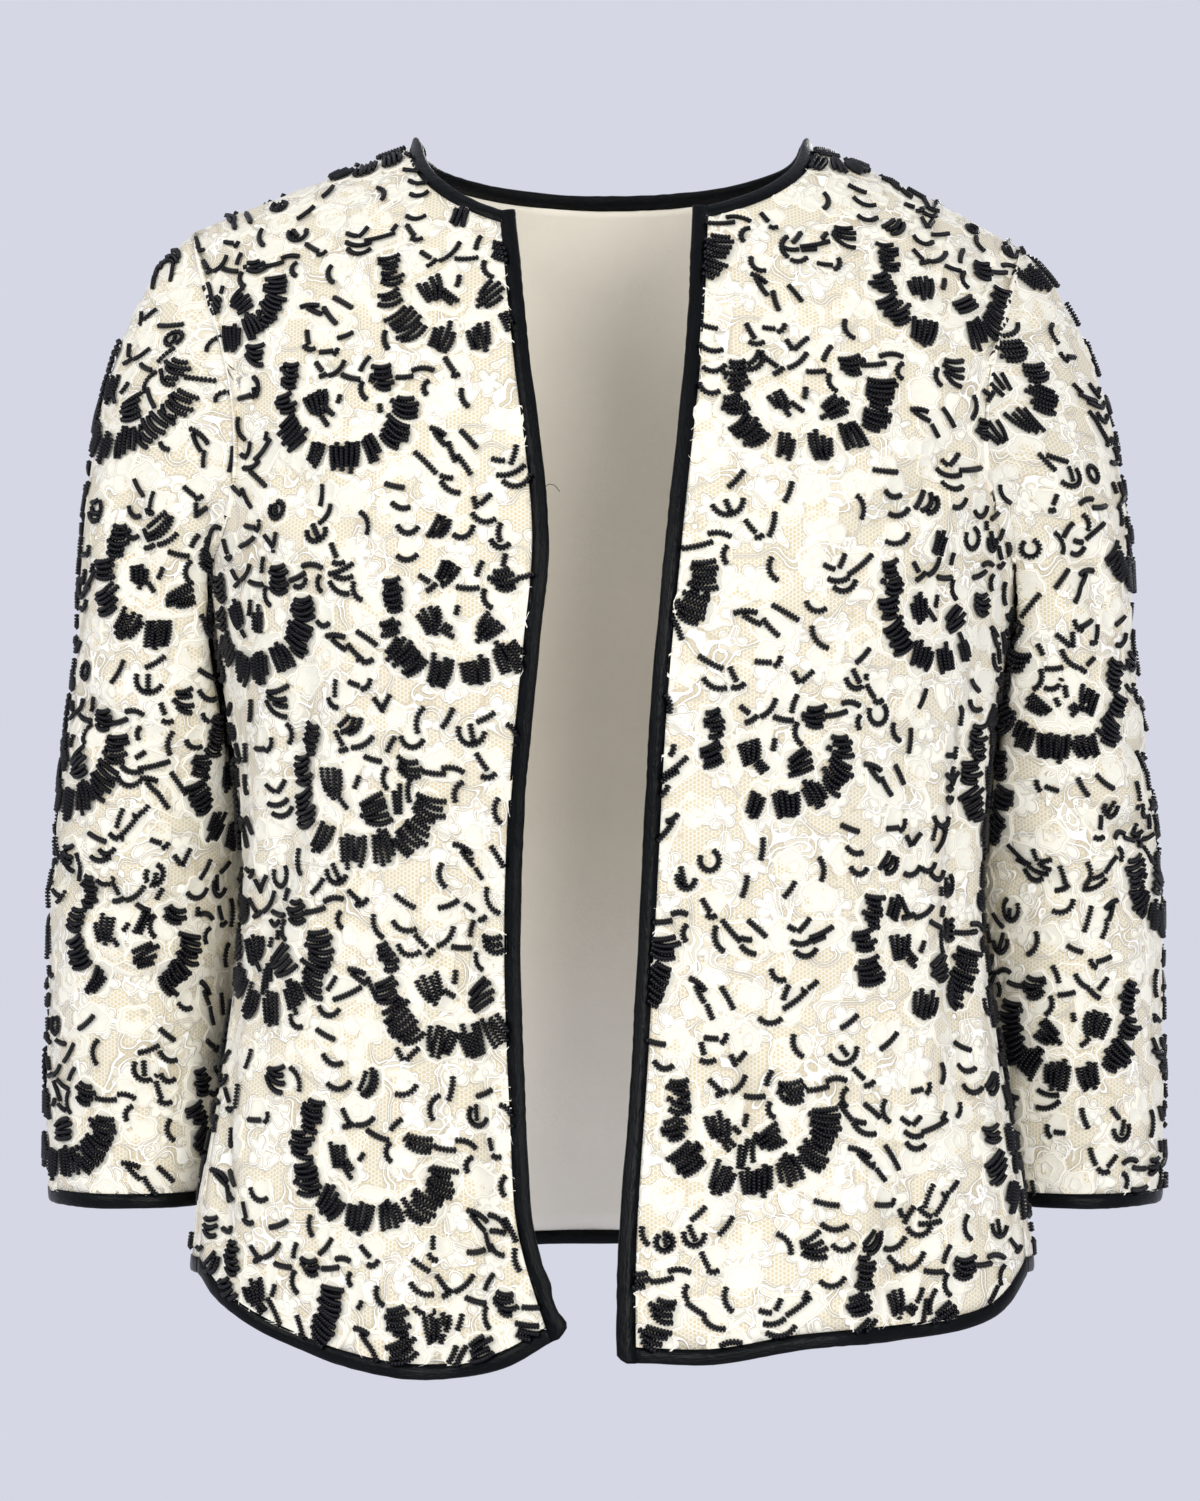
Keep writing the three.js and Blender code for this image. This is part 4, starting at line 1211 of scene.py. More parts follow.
    def fill(self):
        """Small blossoms and single hooks wherever the repeat leaves the net bare."""
        middles = [petal[:2] for petal in self.petals]
        spots = [
            (u + self.stray(FILL_SCATTER), v + self.stray(FILL_SCATTER))
            for u in np.arange(self.low[0], self.high[0], FILL_STEP)
            for v in np.arange(self.low[1], self.high[1], FILL_STEP)
        ]
        for place in spots:
            if not self.cloth.at(*place):
                continue
            rose = (*place, self.stray(FILL_TURN), (1.0, 1.0))
            bare = not self.near(*place, FILL_HOOK_CLEAR)
            if bare and self.random.random() < FILL_HOOK_SHARE:
                kind = self.random.choice(FILL_KINDS)
                self.sprig(rose, Sprig(kind, 0, 0, self.random.choice(FILL_HEADINGS)))
            elif all(math.hypot(place[0] - a, place[1] - b) > FILL_CLEAR for a, b in middles):
                for layer, petal in enumerate(self.random.choice(BLOSSOMS)):
                    self.petal(rose, petal, PETAL_LAYERS * layer)
                middles.append(place)


@lru_cache(maxsize=None)
def charts():
    made = {}
    for name, cloth in garment().items():
        made[name] = Chart(cloth, sizes().bead_pitch)
        made[name].lay_out()
    return made


def bead_frames(cloth, strings, size):
    """Middles and axes of every bead of some strings."""
    rows = []
    for places, lift in strings:
        spots = [cloth.at(*place) for place in places]
        for k, (point, normal) in enumerate(spots):
            after = spots[min(k + 1, len(spots) - 1)][0]
            before = spots[max(k - 1, 0)][0]
            along = after - before
            along = (along - normal * along.dot(normal)).normalized()
            side = normal.cross(along)
            middle = point + normal * (size.bead_width * BEAD_SIT + lift)
            rows.append([middle, along, side, normal])
    return np.array(rows)


def repeated(template, frames, scale):
    """Vertices and faces of one shape repeated in many frames, as arrays."""
    shape = np.array([vert.co for vert in template.verts]) * scale
    faces = np.array([[vert.index for vert in face.verts] for face in template.faces])
    spots = np.einsum("vk,nkc->nvc", shape, frames[:, 1:]) + frames[:, None, 0]
    count = len(shape)
    shifted = faces[None] + (np.arange(len(frames)) * count)[:, None, None]
    return spots.reshape(-1, 3), shifted.reshape(-1, faces.shape[1])


def mesh_from(name, spots, faces):
    mesh = bpy.data.meshes.new(name)
    mesh.from_pydata(spots.tolist(), [], faces.tolist())
    return mesh


def bead_template():
    """A plain bead of width 1, its hole along x."""
    bm = bmesh.new()
    bmesh.ops.create_uvsphere(bm, u_segments=4, v_segments=3, radius=BEAD_SWELL)
    turn = Matrix.Rotation(math.radians(90), 3, "Y")
    bmesh.ops.rotate(bm, cent=(0, 0, 0), matrix=turn, verts=bm.verts)
    bmesh.ops.triangulate(bm, faces=bm.faces)
    bmesh.ops.recalc_face_normals(bm, faces=bm.faces)
    bm.verts.index_update()
    return bm


# Rings of a petal from its middle outwards: radius, height and how much it is cord
PetalRing = namedtuple("PetalRing", "radius height cord")
PETAL_RINGS = [PetalRing(0.74, 0.3, 0.4), PetalRing(0.88, 1.0, 1.0), PetalRing(1.0, -0.1, 0.0)]


def petal_template():
    """A scalloped patch of width 2: a flat middle, then a raised cord round its edge."""
    bm = bmesh.new()
    bmesh.ops.create_circle(
        bm, cap_ends=True, cap_tris=True, segments=PETAL_SEGMENTS, radius=PETAL_RINGS[0].radius
    )
    cord = bm.verts.layers.float.new("cord")
    for vert in bm.verts:
        vert.co.z = PETAL_RINGS[0].height
        vert[cord] = PETAL_RINGS[0].cord
    for ring in PETAL_RINGS[1:]:
        rim = [edge for edge in bm.edges if edge.is_boundary]
        grown = bmesh.ops.extrude_edge_only(bm, edges=rim)["geom"]
        for vert in (part for part in grown if isinstance(part, bmesh.types.BMVert)):
            flat = Vector((vert.co.x, vert.co.y)).normalized() * ring.radius
            vert.co = Vector((*flat, ring.height))
            vert[cord] = ring.cord
    for vert in bm.verts:
        turn = math.atan2(vert.co.y, vert.co.x)
        wave = 1 + SCALLOP * (abs(math.sin(PETAL_SCALLOPS / 2 * turn)) - SCALLOP_MIDDLE)
        vert.co.x *= wave
        vert.co.y *= wave
    bmesh.ops.triangulate(bm, faces=bm.faces)
    bmesh.ops.recalc_face_normals(bm, faces=bm.faces)
    if sum(face.normal.z for face in bm.faces) < 0:
        bmesh.ops.reverse_faces(bm, faces=bm.faces)
    bm.verts.index_update()
    return bm


def petal_mesh(cloth, petals, height):
    """Every petal of a piece, laid on the cloth and cut off at its edges."""
    template = petal_template()
    cord = template.verts.layers.float["cord"]
    shape = [(*vert.co, vert[cord]) for vert in template.verts]
    faces = np.array([[vert.index for vert in face.verts] for face in template.faces])
    template.free()
    spots, flats, crests = [], [], []
    for u, v, heading, length, width, lift in petals:
        if not cloth.at(u, v, reach=PETAL_OVERHANG):
            continue
        cosine, sine = math.cos(heading), math.sin(heading)
        for x, y, z, crest in shape:
            a, b = x * length / 2, y * width / 2 * (1 - PETAL_TAPER * x)
            place = (u + a * cosine - b * sine, v + a * sine + b * cosine)
            point, normal = cloth.at(*place, reach=1.0)
            rise = z * height + lift * PETAL_LAYER * (z > 0)
            spots.append(point + normal * rise)
            flats.append(place)
            crests.append(crest)
    count = len(spots) // len(shape)
    made = (faces[None] + (np.arange(count) * len(shape))[:, None, None]).reshape(-1, 3)
    mesh = mesh_from("petals", np.array(spots), made)
    loops = np.zeros(len(mesh.loops), dtype=int)
    mesh.loops.foreach_get("vertex_index", loops)
    uv = mesh.uv_layers.new(name="cloth")
    uv.data.foreach_set("uv", np.array(flats)[loops].ravel())
    crest = mesh.attributes.new("cord", "FLOAT", "POINT")
    crest.data.foreach_set("value", crests)
    return mesh


def strip_section(t, tuck=0.0):
    """A folded strip's section, from its outer edge round the fold to its inner edge."""
    turn = math.pi * (0.5 - t)
    half = LINED_WALL / 2 + BINDING_PROUD
    across = EDGE_INSET + STRIP_GRIP
    share = abs(math.cos(turn)) ** STRIP_ROUND
    rise = math.copysign(abs(math.sin(turn)) ** STRIP_ROUND, math.sin(turn))
    return share * (across + tuck) - STRIP_GRIP, rise * (half + tuck) - LINED_WALL / 2


def resampled(stations, step, closes):
    """Stations a step apart on a smooth curve through the given ones."""
    count = len(stations)
    fine = []
    for k in range(count if closes else count - 1):
        a, b = stations[k], stations[(k + 1) % count]
        before = stations[k - 1] if closes or k else a
        after = stations[(k + 2) % count] if closes or k + 2 < count else b
        parts = max(1, round((b[0] - a[0]).length / step))
        for part in range(parts):
            fine.append([
                bezier(p, p + (q - o) / 6, q - (r - p) / 6, q, part / parts)
                for o, p, q, r in zip(before, a, b, after)
            ])
    return fine + [stations[0] if closes else stations[-1]]


def pucker(along, seed):
    """Where the bias strip pulls in and out along its length, from -1 to 1."""
    slow = math.sin(along * PUCKER_WAVES[0] + seed * 1.7)
    slow += math.sin(along * PUCKER_WAVES[1] + seed)
    strength = 0.6 + 0.4 * math.sin(along * PUCKER_CALM + seed)
    return 0.3 * slow + 0.4 * strength * math.sin(along * PUCKER_FAST + PUCKER_DRIFT * slow)


def rolled_out(along, rolls):
    """How much wider than plain a strip's outer part is, this far up from its foot."""
    out = sum(
        roll.out * (0.5 + 0.5 * math.cos(math.pi * min(1, abs(along - roll.place) / roll.reach)))
        for roll in rolls
    )
    foot = 1 - (1 - FOOT_END) * max(0, 1 - along / FOOT_ROUND) ** 2 if rolls else 1
    return foot * (1 + out / EDGE_INSET)


def strip(name, solid, stations, closes, material, seed, rolls=()):
    """A satin strip folded over an edge of the cloth, which replaces a solid binding."""
    stations = resampled(stations, ROLLED_STEP if rolls else STRIP_STEP, closes)
    steps = [(b[0] - a[0]).length for a, b in zip(stations, stations[1:])]
    along = np.concatenate([[0.0], np.cumsum(steps)])
    last = len(stations) - 1
    bm = bmesh.new()
    bmesh.ops.create_grid(bm, x_segments=last, y_segments=STRIP_SIDES, size=1)
    uv = bm.loops.layers.uv.new("cloth")
    depth = sizes().pucker
    flats = {}
    for vert in bm.verts:
        i = round((vert.co.x + 1) / 2 * last)
        k = round((vert.co.y + 1) / 2 * STRIP_SIDES)
        point, out, normal = stations[i]
        ends = 1.0 if closes else ease(min(i, last - i) / PUCKER_FREE)
        tuck = depth * ends * pucker(along[i] + PUCKER_SLANT * k, seed)
        across, up = strip_section(k / STRIP_SIDES, tuck)
        if across > 0:
            across *= rolled_out(along[i], rolls)
        vert.co = point + out * across + normal * up
        flats[vert] = (along[i], k * STRIP_WIDTH / STRIP_SIDES)
    for face in bm.faces:
        for loop in face.loops:
            loop[uv].uv = flats[loop.vert]
    bm.normal_update()
    face = next(iter(bm.faces))
    point, out, normal = min(stations, key=lambda station: (station[0] - face.verts[0].co).length)
    middle = point + out * EDGE_INSET / 2 - normal * LINED_WALL / 2
    if face.normal.dot(face.calc_center_median() - middle) < 0:
        bmesh.ops.reverse_faces(bm, faces=bm.faces)
    if closes:
        bmesh.ops.remove_doubles(bm, verts=bm.verts, dist=MERGE)
    piece = finished(bm, name, [material])
    give_wall(piece, STRIP_WALL).material_offset = 0
    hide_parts(solid)


def seam_edges():
    """The panels' edges along the shoulder and side seams: (point, normal) from end to end."""
    pieces = garment()
    sides = {}
    for side in (LEFT, RIGHT):
        front = pieces[f"front_{side.name}"]
        corner, last = FRONT_STEPS[0] + FRONT_STEPS[1], sum(FRONT_STEPS)
        sides[f"shoulder_{side.name}"] = [
            (front.points[i][-1], front.normal(i, FRONT_ROWS))
            for i in range(FRONT_STEPS[0], corner + 1)
        ]
        sides[f"side_{side.name}"] = [
            (front.points[last][j], front.normal(last, j)) for j in range(FRONT_ROWS + 1)
        ]
    return sides


def round_cord(name, points, radius, material):
    """A thin round cord through the points."""
    line = bpy.data.curves.new(name, "CURVE")
    line.dimensions = "3D"
    line.bevel_depth = radius
    line.bevel_resolution = 1
    line.use_fill_caps = True
    spline = line.splines.new("POLY")
    spline.points.add(len(points) - 1)
    for spot, point in zip(spline.points, points):
        spot.co = (*point, 1.0)
    holder = bpy.data.objects.new(name, line)
    bpy.context.scene.collection.objects.link(holder)
    mesh = bpy.data.meshes.new_from_object(holder.evaluated_get(
        bpy.context.evaluated_depsgraph_get()
    ))
    bpy.data.objects.remove(holder)
    mesh.materials.clear()
    return placed(mesh, name, [material])


def seam_ridge(name, edge):
    """The soft ridge of a sewn seam, on the inside between the panels."""
    sunk = [point - normal * SEAM_SUNK for point, normal in edge]
    material = thread_material("Sewing thread", colours().net, colours().lace)
    return sewn_on(round_cord(name, sunk, SEAM_RADIUS, material))


def loose_thread(lead):
    """The short end of black thread that sticks out of a front binding."""
    point, out, normal = min(lead, key=lambda station: abs(station[0].z - LOOSE_LEVEL))
    start = point + out * EDGE_INSET - normal * LINED_WALL / 2
    ends = [start + out * across + Vector((0, 0, up)) for across, up in LOOSE_THREAD]
    material = thread_material("Black thread", colours().satin, colours().beads)
    return sewn_on(round_cord("loose_thread", ends, LOOSE_RADIUS, material))


def sewn_on(piece):
    return piece


def sizes():
    return bpy.context.scene.cardigan_sizes


def colours():
    return bpy.context.scene.cardigan_colours


def node(tree, kind, **inputs):
    """A shader node with its sockets set from numbers and vectors, or linked from sockets."""
    made = tree.nodes.new(kind)
    for name, value in inputs.items():
        feed(tree, made.inputs[name.replace("_", " ")], value)
    return made


def feed(tree, socket, value):
    if isinstance(value, bpy.types.NodeSocket):
        tree.links.new(value, socket)
    else:
        socket.default_value = value


def maths(tree, operation, *values):
    made = tree.nodes.new("ShaderNodeMath")
    made.operation = operation
    for socket, value in zip(made.inputs, values):
        feed(tree, socket, value)
    return made.outputs["Value"]


def vector_maths(tree, operation, *values, scale=None):
    made = tree.nodes.new("ShaderNodeVectorMath")
    made.operation = operation
    for socket, value in zip(made.inputs, values):
        feed(tree, socket, value)
    if scale is not None:
        feed(tree, made.inputs["Scale"], scale)
    return made.outputs["Value" if operation == "DOT_PRODUCT" else "Vector"]


def step_mask(tree, value, low, high):
    """0 below low, 1 above high and smooth between."""
    made = node(tree, "ShaderNodeMapRange", Value=value)
    made.interpolation_type = "SMOOTHSTEP"
    made.inputs["From Min"].default_value = low
    made.inputs["From Max"].default_value = high
    return made.outputs["Result"]


def blend(tree, share, first, second):
    made = tree.nodes.new("ShaderNodeMix")
    made.data_type = "RGBA"
    colour_inputs = [socket for socket in made.inputs if socket.type == "RGBA"]
    feed(tree, made.inputs[0], share)
    feed(tree, colour_inputs[0], first)
    feed(tree, colour_inputs[1], second)
    return next(socket for socket in made.outputs if socket.type == "RGBA")


def noise(tree, place, scale, detail=2.0, rough=0.5):
    made = node(tree, "ShaderNodeTexNoise", Vector=place, Scale=scale, Detail=detail)
    made.inputs["Roughness"].default_value = rough
    return made


def group(name, inputs, outputs, build):
    """A node group with named sockets, built once."""
    tree = bpy.data.node_groups.get(name)
    if tree:
        return tree
    tree = bpy.data.node_groups.new(name, "ShaderNodeTree")
    for label, kind in inputs:
        tree.interface.new_socket(name=label, in_out="INPUT", socket_type=kind)
    for label, kind in outputs:
        tree.interface.new_socket(name=label, in_out="OUTPUT", socket_type=kind)
    entry = tree.nodes.new("NodeGroupInput")
    leave = tree.nodes.new("NodeGroupOutput")
    results = build(tree, entry.outputs)
    for label, value in results.items():
        feed(tree, leave.inputs[label], value)
    return tree


def grouped(tree, made, **inputs):
    placed_group = tree.nodes.new("ShaderNodeGroup")
    placed_group.node_tree = made
    for name, value in inputs.items():
        feed(tree, placed_group.inputs[name.replace("_", " ")], value)
    return placed_group.outputs


def ring_mask(tree, value, centre, half_width, soft):
    """1 where a value is within half_width of the centre, fading out over soft."""
    away = maths(tree, "ABSOLUTE", maths(tree, "SUBTRACT", value, centre))
    return maths(tree, "SUBTRACT", 1, step_mask(tree, away, half_width, half_width + soft))


def larger(tree, *values):
    most = values[0]
    for value in values[1:]:
        most = maths(tree, "MAXIMUM", most, value)
    return most


def build_net(tree, given):
    """Hexagonal net with corded flowers, leaves and wandering double cords worked on it."""
    wave = maths(tree, "DIVIDE", 4 * math.pi / math.sqrt(3), given["Net pitch"])
    scaled = vector_maths(tree, "SCALE", given["Place"], scale=wave)
    total = None
    for degrees in (0, 60, 120):
        turn = math.radians(degrees)
        way = (math.cos(turn), math.sin(turn), 0)
        ripple = maths(tree, "COSINE", vector_maths(tree, "DOT_PRODUCT", scaled, way))
        total = ripple if total is None else maths(tree, "ADD", total, ripple)
    hole = step_mask(tree, total, *NET_HOLE)

    warp = noise(tree, given["Place"], BEND_SCALE, 1).outputs["Color"]
    bent = vector_maths(tree, "SUBTRACT", warp, (0.5, 0.5, 0.5))
    bent = vector_maths(tree, "SCALE", bent, scale=BEND_REACH)
    bent = vector_maths(tree, "ADD", given["Place"], bent)
    per_flower = maths(tree, "DIVIDE", 1, given["Flower step"])
    bent = vector_maths(tree, "SCALE", bent, scale=per_flower)
    bent = vector_maths(tree, "MULTIPLY", bent, (1, 1, 0))
    cells = node(tree, "ShaderNodeTexVoronoi", Vector=bent, Scale=1.0, Randomness=0.65)
    cells.voronoi_dimensions = "2D"
    local = vector_maths(tree, "SUBTRACT", bent, cells.outputs["Position"])
    parts = tree.nodes.new("ShaderNodeSeparateXYZ")
    feed(tree, parts.inputs[0], local)
    luck = tree.nodes.new("ShaderNodeSeparateColor")
    feed(tree, luck.inputs[0], cells.outputs["Color"])
    angle = maths(tree, "ARCTAN2", parts.outputs[1], parts.outputs[0])
    turned = maths(tree, "MULTIPLY", angle, FLOWER_LOBES)
    spin = maths(tree, "MULTIPLY_ADD", luck.outputs[0], FLOWER_SPIN, turned)
    lobe = maths(tree, "ABSOLUTE", maths(tree, "COSINE", maths(tree, "MULTIPLY", spin, 0.5)))
    size = maths(tree, "MULTIPLY_ADD", luck.outputs[1], FLOWER_SPREAD, FLOWER_LEAST)
    reach = maths(tree, "MULTIPLY_ADD", lobe, FLOWER_LOBE_REACH, size)
    away = cells.outputs["Distance"]
    beyond = maths(tree, "SUBTRACT", away, reach)
    flower = maths(tree, "SUBTRACT", 1, step_mask(tree, beyond, -0.01, 0.01))
    flower_cord = larger(
        tree,
        ring_mask(tree, beyond, 0.0, 0.014, 0.016),
        ring_mask(tree, away, FLOWER_EYE, 0.010, 0.014),
    )
    vine = noise(tree, given["Place"], VINE_SCALE, 1).outputs["Fac"]
    leaf_place = vector_maths(tree, "ADD", given["Place"], LEAF_SHIFT)
    leaf = noise(tree, leaf_place, LEAF_SCALE, 1).outputs["Fac"]
    leaves = step_mask(tree, leaf, *LEAF_INSIDE)
    cord = larger(
        tree,
        flower_cord,
        ring_mask(tree, vine, VINE_LINES[0], 0.003, 0.005),
        ring_mask(tree, vine, VINE_LINES[1], 0.003, 0.005),
        ring_mask(tree, leaf, LEAF_LINE, 0.007, 0.010),
    )
    # A band round the flowers' edges, the wandering double cords and the leaves' edges: painted
    # shadow that darkens the net beside each cord
    cord_shadow = larger(
        tree,
        ring_mask(tree, beyond, 0.0, 0.035, 0.03),
        ring_mask(tree, vine, VINE_MIDDLE, 0.026, 0.016),
        ring_mask(tree, leaf, LEAF_LINE, 0.02, 0.02),
    )
    filled = larger(tree, flower, leaves)
    bare = maths(tree, "SUBTRACT", 1, larger(tree, filled, cord))
    hole = maths(tree, "MULTIPLY", hole, bare)
    cord_shadow = maths(tree, "MULTIPLY", cord_shadow, maths(tree, "SUBTRACT", 1, cord))
    height = maths(tree, "MULTIPLY", hole, HOLE_HEIGHT)
    height = maths(tree, "MULTIPLY_ADD", filled, CLOTHWORK_HEIGHT, height)
    height = maths(tree, "MULTIPLY_ADD", cord, CORD_HEIGHT, height)
    return {"Hole": hole, "Clothwork": filled, "Cord": cord, "Beside": cord_shadow, "Height": height}


def net_group():
    return group(
        "Net and clothwork",
        [
            ("Place", "NodeSocketVector"), ("Net pitch", "NodeSocketFloat"),
            ("Flower step", "NodeSocketFloat"),
        ],
        [
            ("Hole", "NodeSocketFloat"), ("Clothwork", "NodeSocketFloat"),
            ("Cord", "NodeSocketFloat"), ("Beside", "NodeSocketFloat"),
            ("Height", "NodeSocketFloat"),
        ],
        build_net,
    )


def build_weave(tree, given):
    """Threads over and under, and how unevenly they were spun."""
    across = vector_maths(tree, "MULTIPLY", given["Place"], (1, 0, 0))
    up = vector_maths(tree, "MULTIPLY", given["Place"], (0, 1, 0))
    wave = maths(tree, "DIVIDE", math.pi, given["Pitch"])
    threads = []
    for line, way in ((across, (1, 0, 0)), (up, (0, 1, 0))):
        turn = maths(tree, "MULTIPLY", vector_maths(tree, "DOT_PRODUCT", line, way), wave)
        threads.append(maths(tree, "SINE", turn))
    over = maths(tree, "MULTIPLY", threads[0], threads[1])
    slub = noise(tree, given["Place"], SLUB_SCALE, 2).outputs["Fac"]
    crossings = maths(tree, "MULTIPLY", over, CROSSING_HEIGHT)
    height = maths(tree, "MULTIPLY_ADD", slub, SLUB_HEIGHT, crossings)
    return {"Height": height, "Slub": slub}


def weave_group():
    return group(
        "Weave",
        [("Place", "NodeSocketVector"), ("Pitch", "NodeSocketFloat")],
        [("Height", "NodeSocketFloat"), ("Slub", "NodeSocketFloat")],
        build_weave,
    )


def shaded(name, build, **constants):
    """A material whose constants sit on the shader and whose build returns the linked sockets."""
    material = bpy.data.materials.get(name)
    if material:
        return material
    material = bpy.data.materials.new(name)
    material.use_nodes = True
    tree = material.node_tree
    shader = tree.nodes["Principled BSDF"]
    for socket, value in constants.items():
        shader.inputs[socket.replace("_", " ")].default_value = value
    for socket, value in build(tree).items():
        feed(tree, shader.inputs[socket], value)
    return material


def raised(tree, height, distance):
    made = node(tree, "ShaderNodeBump", Height=height, Distance=distance, Strength=1.0)
    return made.outputs["Normal"]


def flat_coordinates(tree):
    made = tree.nodes.new("ShaderNodeUVMap")
    made.uv_map = "cloth"
    return made.outputs["UV"]


def object_coordinates(tree):
    return tree.nodes.new("ShaderNodeTexCoord").outputs["Object"]


def rgba(colour, share=1.0):
    return (*(channel * share for channel in colour), 1.0)


def lace_material():
    def build(tree):
        place = flat_coordinates(tree)
        net = grouped(
            tree, net_group(), Place=place, Net_pitch=sizes().net_pitch,
            Flower_step=sizes().flower_step,
        )
        weave = grouped(tree, weave_group(), Place=place, Pitch=LACE_THREAD)
        drift = noise(tree, object_coordinates(tree), 14, 3).outputs["Fac"]
        mesh_thread = blend(tree, drift, rgba(colours().lace, 0.90), rgba(colours().lace, 0.97))
        shade = blend(tree, net["Hole"], mesh_thread, rgba(colours().net))
        shade = blend(tree, net["Clothwork"], shade, rgba(colours().lace))
        # Painted shadow: the net beside each cord is blended towards a darker net colour
        cord_shadow_share = maths(tree, "MULTIPLY", net["Beside"], 0.55)
        shade = blend(tree, cord_shadow_share, shade, rgba(colours().net, 0.8))
        shade = blend(tree, net["Cord"], shade, rgba(colours().cord))
        height = maths(tree, "MULTIPLY_ADD", weave["Height"], 0.22, net["Height"])
        rough = maths(tree, "MULTIPLY_ADD", weave["Slub"], 0.15, 0.72)
        return {
            "Base Color": shade, "Roughness": rough,
            "Normal": raised(tree, height, LACE_RELIEF),
        }

    return shaded("Corded lace", build, Sheen_Weight=0.12, Sheen_Roughness=0.5, IOR=1.4)


def petal_material():
    def build(tree):
        place = flat_coordinates(tree)
        weave = grouped(tree, weave_group(), Place=place, Pitch=PETAL_THREAD)
        crest = tree.nodes.new("ShaderNodeAttribute")
        crest.attribute_name = "cord"
        cord = ring_mask(tree, crest.outputs["Fac"], 1.0, 0.12, 0.12)
        # Painted shade on the inner flank of the raised cord, and painted shadow round the petal's
        # outer edge where it meets the cloth; both darken towards the net colour
        painted_inner_shade = maths(tree, "MULTIPLY", ring_mask(tree, crest.outputs["Fac"], 0.66, 0.1, 0.1), 0.4)
        painted_edge_shadow = maths(tree, "SUBTRACT", 1, step_mask(tree, crest.outputs["Fac"], 0.02, 0.2))
        net = grouped(
            tree, net_group(), Place=place, Net_pitch=sizes().net_pitch,
            Flower_step=sizes().flower_step,
        )
        drift = noise(tree, place, 420, 2).outputs["Fac"]
        ground = blend(tree, drift, rgba(colours().lace, 0.88), rgba(colours().lace))
        open_work = step_mask(tree, noise(tree, place, 90, 1).outputs["Fac"], 0.5, 0.56)
        open_work = maths(tree, "MULTIPLY", open_work, net["Hole"])
        ground = blend(tree, open_work, ground, rgba(colours().net))
        shade = blend(tree, cord, ground, rgba(colours().cord))
        shade = blend(tree, painted_inner_shade, shade, rgba(colours().net, 0.85))
        shade = blend(tree, maths(tree, "MULTIPLY", painted_edge_shadow, 0.5), shade, rgba(colours().net))
        twist = noise(tree, place, 1500, 1).outputs["Fac"]
        height = maths(
            tree, "MULTIPLY_ADD", twist, 0.7, maths(tree, "MULTIPLY", weave["Height"], 0.5)
        )
        rough = maths(tree, "MULTIPLY_ADD", weave["Slub"], 0.15, 0.68)
        return {
            "Base Color": shade, "Roughness": rough,
            "Normal": raised(tree, height, PETAL_RELIEF),
        }

    return shaded("Clothwork petals", build, Sheen_Weight=0.15, Sheen_Roughness=0.4, IOR=1.4)


def lining_material():
    def build(tree):
        place = flat_coordinates(tree)
        weave = grouped(tree, weave_group(), Place=place, Pitch=LINING_THREAD)
        drift = noise(tree, object_coordinates(tree), 18, 3).outputs["Fac"]
        shade = blend(tree, drift, rgba(colours().lining, 0.88), rgba(colours().lining))
        rough = maths(tree, "MULTIPLY_ADD", weave["Slub"], 0.2, 0.45)
        return {
            "Base Color": shade,
            "Roughness": rough,
            "Normal": raised(tree, weave["Height"], LINING_RELIEF),
        }

    return shaded("Lining", build, Sheen_Weight=0.1, IOR=1.42)


def satin_material():
    def build(tree):
        place = flat_coordinates(tree)
        stretched_place = vector_maths(tree, "MULTIPLY", place, (1.0, 4.5, 1.0))
        drift = noise(tree, stretched_place, 60, 3, 0.6).outputs["Fac"]
        # Painted sheen: lengthwise streaks where the near-black satin is lighter
        painted_sheen = step_mask(tree, drift, 0.42, 0.72)
        shade = blend(tree, painted_sheen, rgba(colours().satin, 0.45), rgba(colours().satin))
        weave = grouped(tree, weave_group(), Place=place, Pitch=SATIN_THREAD)
        puckers = noise(tree, stretched_place, 260, 2).outputs["Fac"]
        height = maths(tree, "MULTIPLY_ADD", weave["Height"], 0.12, puckers)
        rough = maths(tree, "MULTIPLY_ADD", weave["Slub"], 0.18, 0.22)
        return {
            "Base Color": shade, "Roughness": rough,
            "Normal": raised(tree, height, SATIN_RELIEF),
        }

    return shaded("Satin binding", build, Specular_IOR_Level=0.1, IOR=1.5)


def bead_material():
    def build(tree):
        place = object_coordinates(tree)
        drift = noise(tree, place, 260, 1).outputs["Fac"]
        shade = blend(tree, drift, rgba(colours().beads, 0.4), rgba(colours().beads, 1.8))
        rough = maths(tree, "MULTIPLY_ADD", noise(tree, place, 900, 1).outputs["Fac"], 0.16, 0.04)
        return {"Base Color": shade, "Roughness": rough}

    return shaded("Black glass beads", build, IOR=1.5, Specular_IOR_Level=0.22)


def thread_material(name, dark, light):
    def build(tree):
        place = object_coordinates(tree)
        drift = noise(tree, place, 1400, 1).outputs["Fac"]
        shade = blend(tree, drift, rgba(dark), rgba(light, 0.9))
        return {
            "Base Color": shade,
            "Roughness": maths(tree, "MULTIPLY_ADD", drift, 0.2, 0.6),
            "Normal": raised(tree, drift, THREAD_RELIEF),
        }

    return shaded(name, build, Sheen_Weight=0.1)


def floor_material():
    def build(tree):
        drift = noise(tree, object_coordinates(tree), 3, 2).outputs["Fac"]
        shade = blend(tree, drift, rgba(colours().studio, 0.96), rgba(colours().studio))
        return {"Base Color": shade, "Roughness": maths(tree, "MULTIPLY_ADD", drift, 0.1, 0.75)}

    return shaded("Studio floor", build)


def colour_property(name, description, default):
    return bpy.props.FloatVectorProperty(
        name=name, description=description, default=default, subtype="COLOR", size=3,
        min=0.0, max=1.0,
    )


def length_property(name, description, default):
    return bpy.props.FloatProperty(
        name=name, description=description, default=default, unit="LENGTH", subtype="DISTANCE",
        min=0.0, precision=5,
    )


